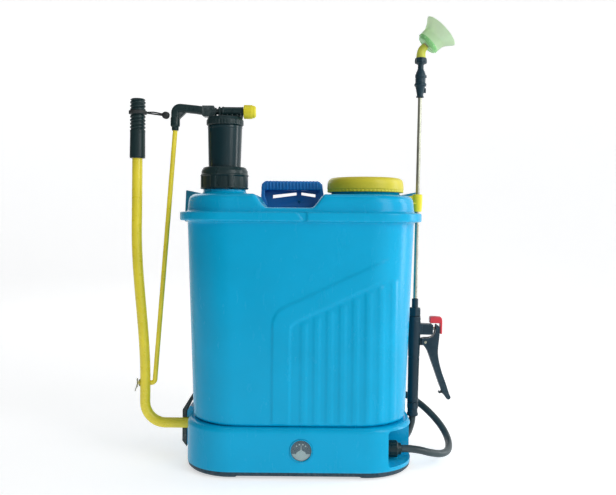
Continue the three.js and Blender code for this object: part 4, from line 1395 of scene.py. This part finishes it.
def wand_grip():
    handle = turned("grip", mm(
        (0, 81.5), (8.6, 81.5), (9.3, 82.3), (9.3, 88), (9, 88.6), (9.2, 120), (9.6, 156.8), (9.1, 157.4),
        (9.1, 158.4), (9.8, 159), (10.3, 190), (10.4, 218), (10, 219.2), (10, 220.8), (10.4, 222), (10, 227),
        (0, 227),
    ), soft=0.0005)
    navy_piece("grip_body", handle, "wand_grip")
    lug = navy_piece("pivot_lug", slab("lug", mm(
        (6, 178), (18.5, 178), (21.5, 180.5), (22.5, 184), (21.5, 187.5), (18.5, 190), (6, 190.5),
    ), (-0.0030, 0.0030), FACING_FRONT))
    bore = rod("bore", 0.0027, -0.012, 0.012, TRIGGER_AXLE, INWARD)
    housing = navy_piece("valve_housing", slab("box", mm(
        (5, 196.8), (28.5, 196.8), (30.8, 198.5), (30.8, 212.8), (29, 214.6), (5, 215),
    ), (-0.0078, 0.0078), FACING_FRONT))
    channel = rod("channel", 0.00275, 0.0135, 0.034, VALVE_AXLE, ACROSS)
    panel = slab("panel", mm((12.5, 199.5), (27.5, 199.5), (27.5, 212), (12.5, 212)),
                 (-0.010, -0.0072), FACING_FRONT)
    for cutter in (bore, channel, panel):
        cutter.transform(WAND)
    soften(carve(lug, bore), 0.0004, 2, CARVED)
    soften(carve(housing, channel, panel), 0.0009, 3, CARVED)


def lance():
    tube = turned("tube", mm(
        (2.6, 257.4), (3.4, 257.4), (3.5, 258), (3.5, 598), (3.4, 598.6), (2.6, 598.6),
    ), sides=48, soft=0.0002, ring=True)
    on_wand("lance", tube, STEEL, stands_for=("lance_tube",))
    socket = turned("socket", mm(
        (3.6, 599), (6.6, 599), (6.8, 600.4), (5.5, 601.8), (5.8, 605.5), (8, 616.5), (8.6, 618),
        (10.4, 618.7), (10.4, 622.3), (9, 623.2), (8.6, 624), (8.8, 630.8), (3.6, 630.8),
    ), sides=144, soft=0.0004, ring=True,
        wobble=lambda a, r, z: hexagon(a, r, 0.0098) if 0.6183 < z < 0.6228 else r)
    tab = block("tab", (0.0060, -0.0020, 0.6070), (0.0096, 0.0020, 0.6150))
    navy_piece("head_base", merged("head_base", socket, tab), "head_socket")

    def lobes(angle, r, z):
        return r - 0.0009 * (0.5 - 0.5 * math.cos(angle * 8)) * (0.6572 < z < 0.6648) * (r > 0.0095)

    swivel = turned("swivel", mm(
        (5.6, 631.3), (8.6, 631.3), (8.8, 633), (9.2, 633.8), (9.2, 636.8), (8.6, 637.8), (7.8, 641),
        (5.8, 645.5), (5, 647.8), (5, 654.5), (6.6, 656), (9.8, 657), (10.4, 658.8), (10.4, 663.6),
        (9.5, 666), (4, 666), (4, 640),
    ), sides=160, soft=0.0004, ring=True, wobble=lobes)
    fin = block("fin", (0.0080, -0.0012, 0.6325), (0.0103, 0.0012, 0.6372))
    navy_piece("swivel_ring", merged("swivel", swivel, fin), "swivel_nut")
    path = smooth_path(mm(
        (0, 0, 666.4), (0, 0, 670), (0.1, 0, 674), (1.4, 0, 679.5), (4, 0, 683.5), (6.8, 0, 686.6),
    ), 6)
    elbow = swept("elbow", path, lambda t: 0.0083 - 0.0020 * t, sides=40)
    on_wand("nozzle_elbow", elbow, LIME, "nozzle", ("nozzle_elbow",), smooth_angle=50)


def spray_bell():
    """Bell shroud and nozzle tip, drawn about their own axis and then tilted outwards by 45 degrees."""
    place = WAND @ Matrix.Translation((0.008, 0, 0.688)) @ Matrix.Rotation(math.radians(45), 4, "Y")
    wall = 0.0011
    outer = mm((20, 4.8), (20.6, 9), (21.1, 18), (23.2, 22.5), (26.4, 27.5), (30, 31.8), (33, 35.6))
    inner = [(r - wall, z) for r, z in reversed(outer)]
    bell = turned("bell", [*outer, *inner], sides=96, soft=0.0004, ring=True)
    cup = turned("cup", mm(
        (5.8, 0), (16.5, 0), (17.6, 0.6), (20.4, 5), (20.4, 6.8), (19.2, 6.8), (16.6, 1.4), (5.8, 1.4),
    ), sides=96, soft=0.0003, ring=True)
    teeth = []
    for k in range(12):
        tooth = block("tooth", (0.0172, -0.0011, 0.0030), (0.0206, 0.0011, 0.0066))
        tooth.transform(Matrix.Rotation(2 * math.pi * k / 12, 4, "Z"))
        teeth.append(tooth)
    cup = merged("cup", cup, *teeth)
    tip = turned("tip", mm(
        (0, 0.4), (5.2, 0.4), (5.2, 9.5), (4.6, 11.2), (3, 12), (1.1, 12), (0.8, 11.2), (0, 10.8),
    ), sides=48, soft=0.0003)
    for mesh in (bell, cup, tip):
        mesh.transform(place)
    keep("bell", bell, GREEN_CLEAR, "shroud", ("spray_shroud",), smooth_angle=60)
    keep("bell_cup", cup, GREEN, "shroud")
    keep("tip", tip, BRASS, "shroud", ("nozzle_tip",))


def trigger_blade():
    outline = smooth_path([(x, 0, z) for x, z in mm(
        (12, 188), (12.2, 181.5), (16.5, 177), (22.2, 169), (28.5, 153), (37.5, 129), (45, 109), (52, 95.5),
        (56.8, 88.8), (60.6, 88.2), (63, 91.6), (60, 99), (54, 116), (47.5, 133), (42.5, 150), (39.8, 166),
        (40.4, 180), (41.8, 196), (41.4, 209), (40, 212), (36.2, 213.5), (35.2, 207), (33.8, 198.5),
        (30, 193.5), (24.5, 191.2), (16.5, 190.8), (13, 190),
    )], 3)
    mesh = slab("trigger", [(p.x, p.z) for p in outline], (-0.0078, 0.0078), FACING_FRONT)
    obj = on_wand("squeeze_lever", mesh, NAVY, "trigger", ("trigger",))
    fork = block("fork", (0.0095, -0.0034, 0.1740), (0.0250, 0.0034, 0.1950))
    slot = block("slot", (0.0325, -0.0034, 0.1990), (0.0450, 0.0034, 0.2200))
    hollow = slab("hollow", mm(
        (26.2, 176), (37.2, 177), (37, 165), (40, 149), (55, 104), (54.5, 100), (40, 133), (30, 162),
    ), (-0.0012, 0.0200), FACING_FRONT)
    bore = rod("bore", 0.0026, -0.012, 0.012, TRIGGER_AXLE, INWARD)
    for cutter in (fork, slot, hollow, bore):
        cutter.transform(WAND)
    soften(carve(obj, fork, slot, hollow, bore), 0.0007, 2, CARVED)
    hook = slab("hook", mm(
        (45.5, 107.5), (47.5, 102), (45.5, 100), (43.8, 101.8), (42.4, 98.8), (44.5, 96.8), (48.5, 97.8),
        (52, 95), (53, 99), (49, 109),
    ), (-0.0026, 0.0026), FACING_FRONT)
    soften(on_wand("lock_catch", hook, BLACK, "trigger", slot="navy_plastic"), 0.0004, 2, CARVED)


def trigger_valve():
    pin = turned("pin", mm(
        (0, -8.5), (2.1, -8.5), (2.5, -8), (2.5, 8), (2.1, 8.5), (0, 8.5),
    ), TRIGGER_AXLE, INWARD, sides=32, soft=0.0002)
    on_wand("pivot_pin", pin, STEEL, stands_for=("trigger_pin",))
    stem = turned("stem", mm((0, 14.2), (2.2, 14.2), (2.5, 14.6), (2.5, 42.1), (0, 42.1)),
                  VALVE_AXLE, ACROSS, sides=32, soft=0.0002)
    on_wand("valve_stem", stem, STEEL, "valve", ("valve_stem",))
    knob = slab("knob", mm(
        (25.2, 216.3), (42.8, 216.3), (42.8, 198.2), (46.3, 198.2), (46.4, 220), (45.8, 224), (44, 226.8),
        (42, 227.4), (26.6, 227.2), (25.2, 225.5),
    ), (-0.0069, 0.0069), FACING_FRONT)
    soften(on_wand("valve_cap", knob, RED, "valve", ("valve_knob",)), 0.0013, 4, CARVED)
    ridges = [
        block("ridge", (0.0270 + 0.0024 * k, -0.0062, 0.2264), (0.0280 + 0.0024 * k, 0.0062, 0.2276))
        for k in range(5)
    ]
    on_wand("cap_ridges", merged("ridges", *ridges), RED, "valve")


def clip():
    foot, head = low("lance_clip").z, high("lance_clip").z
    left = low("lance_clip").x + 0.0002
    at = WAND @ Vector((0, 0, (foot + head) / 2))
    ring = turned("ring", [
        (0.0040, foot + 0.0005), (0.0066, foot + 0.0005), (0.0072, foot + 0.002), (0.0080, foot + 0.012),
        (0.0084, head - 0.004), (0.0084, head - 0.001), (0.0078, head), (0.0050, head),
        (0.0048, head - 0.003),
    ], (at.x, at.y, 0), sides=96, ring=True)
    right = at.x - 0.005
    outline = [(left, head - 0.0035), (right, head - 0.0015), (right, foot + 0.006), (left, foot + 0.012)]
    arm = slab("arm", outline, (at.y - 0.0030, at.y + 0.0030), FACING_FRONT)
    rib = block("rib", (at.x - 0.0086, at.y - 0.0070, foot + 0.0135),
                (at.x - 0.0030, at.y + 0.0070, foot + 0.0160))
    obj = keep("clip", merged("clip", ring, arm, rib), YELLOW, stands_for=("lance_clip",))
    soften(obj, 0.0004, 2, CARVED)


outlet_nut()
bottom_nut()
wand_grip()
top_nut()
lance()
spray_bell()
trigger_blade()
trigger_valve()
clip()


# ---- harness on the wearer's side ----

def swollen(mesh, cap, voxel=0.005, pull=0.002):
    """The form remeshed and blown up as cloth, moved by up to cap, and by up to pull in its own plane."""
    pressure, frames = 4, 20
    obj = bpy.data.objects.new("form", mesh)
    bpy.context.scene.collection.objects.link(obj)
    remesh = obj.modifiers.new("remesh", "REMESH")
    remesh.mode = "VOXEL"
    remesh.voxel_size = voxel
    baked(obj)
    start = [v.co.copy() for v in obj.data.vertices]
    cloth = obj.modifiers.new("cloth", "CLOTH")
    cloth.settings.use_pressure = True
    cloth.settings.uniform_pressure_force = pressure
    cloth.settings.effector_weights.gravity = 0
    cloth.point_cache.frame_start, cloth.point_cache.frame_end = 1, frames
    for frame_number in range(1, frames + 1):
        bpy.context.scene.frame_set(frame_number)
    baked(obj)
    for vertex, before in zip(obj.data.vertices, start):
        move = vertex.co - before
        move.x = max(-pull, min(pull, move.x))
        move.z = max(-pull, min(pull, move.z))
        vertex.co = before + move * min(1, cap / max(move.length, 1e-6))
    bpy.context.scene.frame_set(1)
    subdivide = obj.modifiers.new("subdivide", "SUBSURF")
    subdivide.levels = subdivide.render_levels = 1
    result = baked(obj).data
    bpy.data.objects.remove(obj)
    return result


def sew(mesh, distance_to_seam, middle_y, depth, width=0.0035):
    """Sink a channel into both faces of a pad wherever distance_to_seam is small."""
    for vertex in mesh.vertices:
        sink = depth * math.exp(-(distance_to_seam(vertex.co) / width) ** 2)
        lift = vertex.co.y - middle_y(vertex.co.z)
        vertex.co.y -= math.copysign(min(sink, abs(lift) * 0.7), lift)


def stitches(points, length=0.0042, gap=0.0028, radius=0.00045):
    """Thread along a line of close points, in dashes."""
    threads = []
    dash = [Vector(points[0])]
    run, drawing = 0.0, True
    for a, b in zip(points, points[1:]):
        a, b = Vector(a), Vector(b)
        run += (b - a).length
        if drawing:
            dash.append(b)
        if run > (length if drawing else gap):
            if drawing and len(dash) > 2:
                threads.append(swept("thread", dash, radius, sides=6, up=(1, 0, 0), dome=0.0003))
            drawing = not drawing
            dash = [b]
            run = 0.0
    return threads


def fine_line(points, step=0.0009):
    """The same line with points close together."""
    line = []
    for a, b in zip(points, points[1:]):
        a, b = Vector(a), Vector(b)
        count = max(1, round((b - a).length / step))
        line += [a.lerp(b, k / count) for k in range(count)]
    return [*line, Vector(points[-1])]


def webbing_piece(name, meshes, material, smooth_angle=70):
    """Piping, tape or thread sewn to the harness."""
    keep(name, merged("webbing", *meshes), material, smooth_angle=smooth_angle)


def tape(path):
    """Flat webbing along a path."""
    return swept("tape", path, 1.0, section=pillow_section(0.0150, 0.0011, 0.35, 28), up=ACROSS)


def back_pad():
    a, b = low("back_pad"), high("back_pad")
    half_width = (b.x - a.x) / 2
    thick, reach = b.y - a.y, b.z - a.z
    middle = a.y + thick * 0.5
    corner, steps = 0.030, 30
    path = [(0, middle, a.z + 0.003 + (reach - 0.006) * k / steps) for k in range(steps + 1)]

    def rounding(t):
        edge = min(t, 1 - t) * reach
        return 1 - (0.10 * (1 - edge / corner) ** 2 if edge < corner else 0)

    section = pillow_section(half_width - 0.003, thick * 0.26, 0.25)
    mesh = swollen(swept("form", path, rounding, section=section, up=ACROSS, dome=0.002), 0.008)
    for vertex in mesh.vertices:
        vertex.co.y = max(vertex.co.y, a.y + 0.0004)
    channels = (-0.043, 0.043)
    inset = 0.012

    def seam(point):
        across = min(abs(point.x - x) for x in channels)
        to_edges = (half_width - inset - abs(point.x), point.z - a.z - inset, b.z - inset - point.z)
        return min(across, abs(min(to_edges, key=abs)))

    sew(mesh, seam, lambda z: middle, 0.0042)
    obj = keep("pad_back", mesh, FABRIC, stands_for=("back_pad",), smooth_angle=70)
    margin, turn = 0.004, 0.018
    x, low_z, high_z = half_width - margin - turn, a.z + margin + turn, b.z - margin - turn
    loop = []
    for cx, cz, first in ((x, high_z, 0), (-x, high_z, 90), (-x, low_z, 180), (x, low_z, 270)):
        for k in range(7):
            angle = math.radians(first + 15 * k)
            loop.append((cx + turn * math.cos(angle), middle - 0.0005, cz + turn * math.sin(angle)))
    loop.append(loop[0])
    webbing_piece("pad_back_piping", [swept("piping", fine_line(loop, 0.006), 0.0023, sides=12)], WEBBING)
    lines = []
    for x in channels:
        lines += stitches(fine_line([(x, b.y - 0.0035, a.z + 0.016), (x, b.y - 0.0035, b.z - 0.016)]))
    webbing_piece("pad_back_thread", lines, THREAD)


PAD_ROUTE = [(0.112, 0.410), (0.124, 0.392), (0.134, 0.360), (0.139, 0.310), (0.140, 0.260), (0.136, 0.214)]
WEB_ROUTE = [(0.134, 0.200), (0.131, 0.180), (0.124, 0.140), (0.117, 0.100)]


def shoulder_pad(side, x):
    centre_line = smooth_path([(x, y, z) for y, z in PAD_ROUTE], 8)
    line_z = [p.z for p in centre_line][::-1]
    line_y = [p.y for p in centre_line][::-1]

    def middle_y(z):
        return float(np.interp(z, line_z, line_y))

    def seam(point):
        return abs(half_width - 0.008 - abs(point.x - x))

    half_width = 0.026
    inner = [p for p in centre_line if 0.219 < p.z < 0.404]
    section = pillow_section(half_width - 0.002, 0.0028, 0.3)
    mesh = swollen(swept("form", inner, 1.0, section=section, up=ACROSS, dome=0.003), 0.006, 0.0045)
    sew(mesh, seam, middle_y, 0.0022, 0.0028)
    obj = keep("pad_" + side, mesh, FABRIC, stands_for=("shoulder_pad_" + side,), smooth_angle=70)
    edges = []
    for lean in (-1, 1):
        edge = [p + Vector((lean * (half_width - 0.0032), 0, 0)) for p in inner]
        edges.append(swept("piping", edge, 0.0021, sides=12, up=ACROSS, dome=0.0015))
    webbing_piece("pad_piping_" + side, edges, WEBBING)
    outside = [p + Vector((0, 0.0058, 0.0004)) for p in inner[2:-2]]
    upper = [(x, 0.1075, 0.4095), (x, 0.1100, 0.4105), (x, 0.1135, 0.4080), (x, middle_y(0.398), 0.3975)]
    lower = [(x, middle_y(0.224), 0.2240), (x, 0.1362, 0.2160), (x, 0.1351, 0.2105), (x, 0.1348, 0.2085)]
    tapes = [tape(path) for path in (outside, smooth_path(upper, 5), smooth_path(lower, 5))]
    webbing_piece("pad_tape_" + side, tapes, WEBBING, 50)
    threads = []
    for lean in (-1, 1):
        threads += stitches(fine_line([p + Vector((lean * 0.0128, 0.0012, 0)) for p in outside]))
    webbing_piece("pad_thread_" + side, threads, THREAD)


def buckle(side):
    a, b = low("strap_buckle_" + side), high("strap_buckle_" + side)
    x = centre("strap_buckle_" + side).x
    mesh = slab("buckle", chamfered(a, b, 0.003), (a.y + 0.0010, b.y - 0.0015), FACING_FRONT)
    obj = keep("buckle_" + side, mesh, BLACK, stands_for=("strap_buckle_" + side,))
    slots = [
        block("slot", (x - 0.0158, a.y - THROUGH, z - 0.0014), (x + 0.0158, b.y + THROUGH, z + 0.0014))
        for z in (a.z + 0.0031, b.z - 0.0031)
    ]
    soften(carve(obj, *slots), 0.0006, 3, CARVED)
    tongue = block("tongue", (x - 0.010, b.y - 0.0020, a.z - 0.0030), (x + 0.010, b.y - 0.0004, a.z + 0.0018))
    soften(keep("buckle_tongue_" + side, tongue, BLACK), 0.0006, 3, CARVED)


def strap_web(side, x):
    ribbon = pillow_section(0.0148, 0.0010, 0.35, 28)
    main = smooth_path([
        (x, 0.1348, 0.2052), (x, 0.1345, 0.2030), *((x, y, z) for y, z in WEB_ROUTE),
        (x, 0.1142, 0.0720), (x, 0.1128, 0.0650), (x, 0.1118, 0.0575), (x, 0.1100, 0.0515),
        (x, 0.1060, 0.0496), (x, 0.1025, 0.0500),
    ], 6)
    tail = smooth_path([
        (x, 0.1350, 0.2045), (x, 0.1375, 0.2015), (x, 0.1392, 0.1950), (x, 0.1388, 0.1780),
        (x + 0.0015, 0.1362, 0.1580), (x + 0.0025, 0.1358, 0.1380), (x + 0.0020, 0.1372, 0.1220),
    ], 6)
    hem = [p + Vector((0, 0.0014, 0)) for p in tail[-7:]]
    webs = [swept("web", path, 1.0, section=ribbon, up=ACROSS) for path in (main, tail, hem)]
    keep("strap_" + side, merged("strap", *webs), WEBBING, stands_for=("strap_web_" + side,), smooth_angle=50)


def top_bar(places):
    a, b = low("strap_top_bar"), high("strap_top_bar")
    mesh = slab("bar", chamfered(a, b, 0.006), (a.y, b.y), FACING_FRONT)
    bar = keep("top_bar", mesh, BLACK, stands_for=("strap_top_bar",))
    slots = [
        block("slot", (x - 0.0165, a.y - THROUGH, b.z - 0.0145), (x + 0.0165, b.y + THROUGH, b.z - 0.0105))
        for x in places
    ]
    soften(carve(bar, *slots), 0.0009, 3, CARVED)
    profile = mm((0, 1), (1.2, 1), (1.4, 2.2), (3.4, 1.8), (4.2, 0.4), (4.2, 0), (0, 0))
    heads = [turned("screw", profile, (x, b.y, (a.z + b.z) / 2), INWARD, sides=28, soft=0.0002)
             for x in (-0.096, -0.030, 0.030, 0.096)]
    keep("top_bar_screws", merged("screws", *heads), STEEL)


def lower_bar(places):
    a, b = low("strap_lower_bar"), high("strap_lower_bar")
    middle, half = (a + b) / 2, (b - a) / 2
    section = pillow_section(half.z, half.y, 0.6, 32)

    def stretch(start, end, steps, radius, dome=0.0):
        path = [(start + (end - start) * k / steps, middle.y, middle.z) for k in range(steps + 1)]
        return swept("bar", path, radius, section=section, up=UP, dome=dome)

    bar = stretch(a.x + 0.004, b.x - 0.004, 12, 1.0, 0.004)
    collars = [stretch(x + lean * 0.0185 - 0.0015, x + lean * 0.0185 + 0.0015, 1, 1.04)
               for x in places for lean in (-1, 1)]
    keep("lower_bar", merged("bar", bar, *collars), BLACK, stands_for=("strap_lower_bar",))


back_pad()
STRAPS = {"left": -0.082, "right": 0.082}
for strap_side, strap_x in STRAPS.items():
    shoulder_pad(strap_side, strap_x)
    buckle(strap_side)
    strap_web(strap_side, strap_x)
top_bar(STRAPS.values())
lower_bar(STRAPS.values())


# ---- pieces inside, which keep their CAD shapes ----

INSIDE = {
    "battery": BLACK, "electric_pump": BLACK, "delivery_pipe": HOSE, "pump_cylinder": WHITE,
    "pump_valve": RUBBER, "filler_strainer": WHITE, "piston": WHITE, "piston_cup": RUBBER,
    "lid_gasket": RUBBER,
}
for node, inside_material in INSIDE.items():
    for material_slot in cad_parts[node].material_slots:
        material_slot.material = inside_material
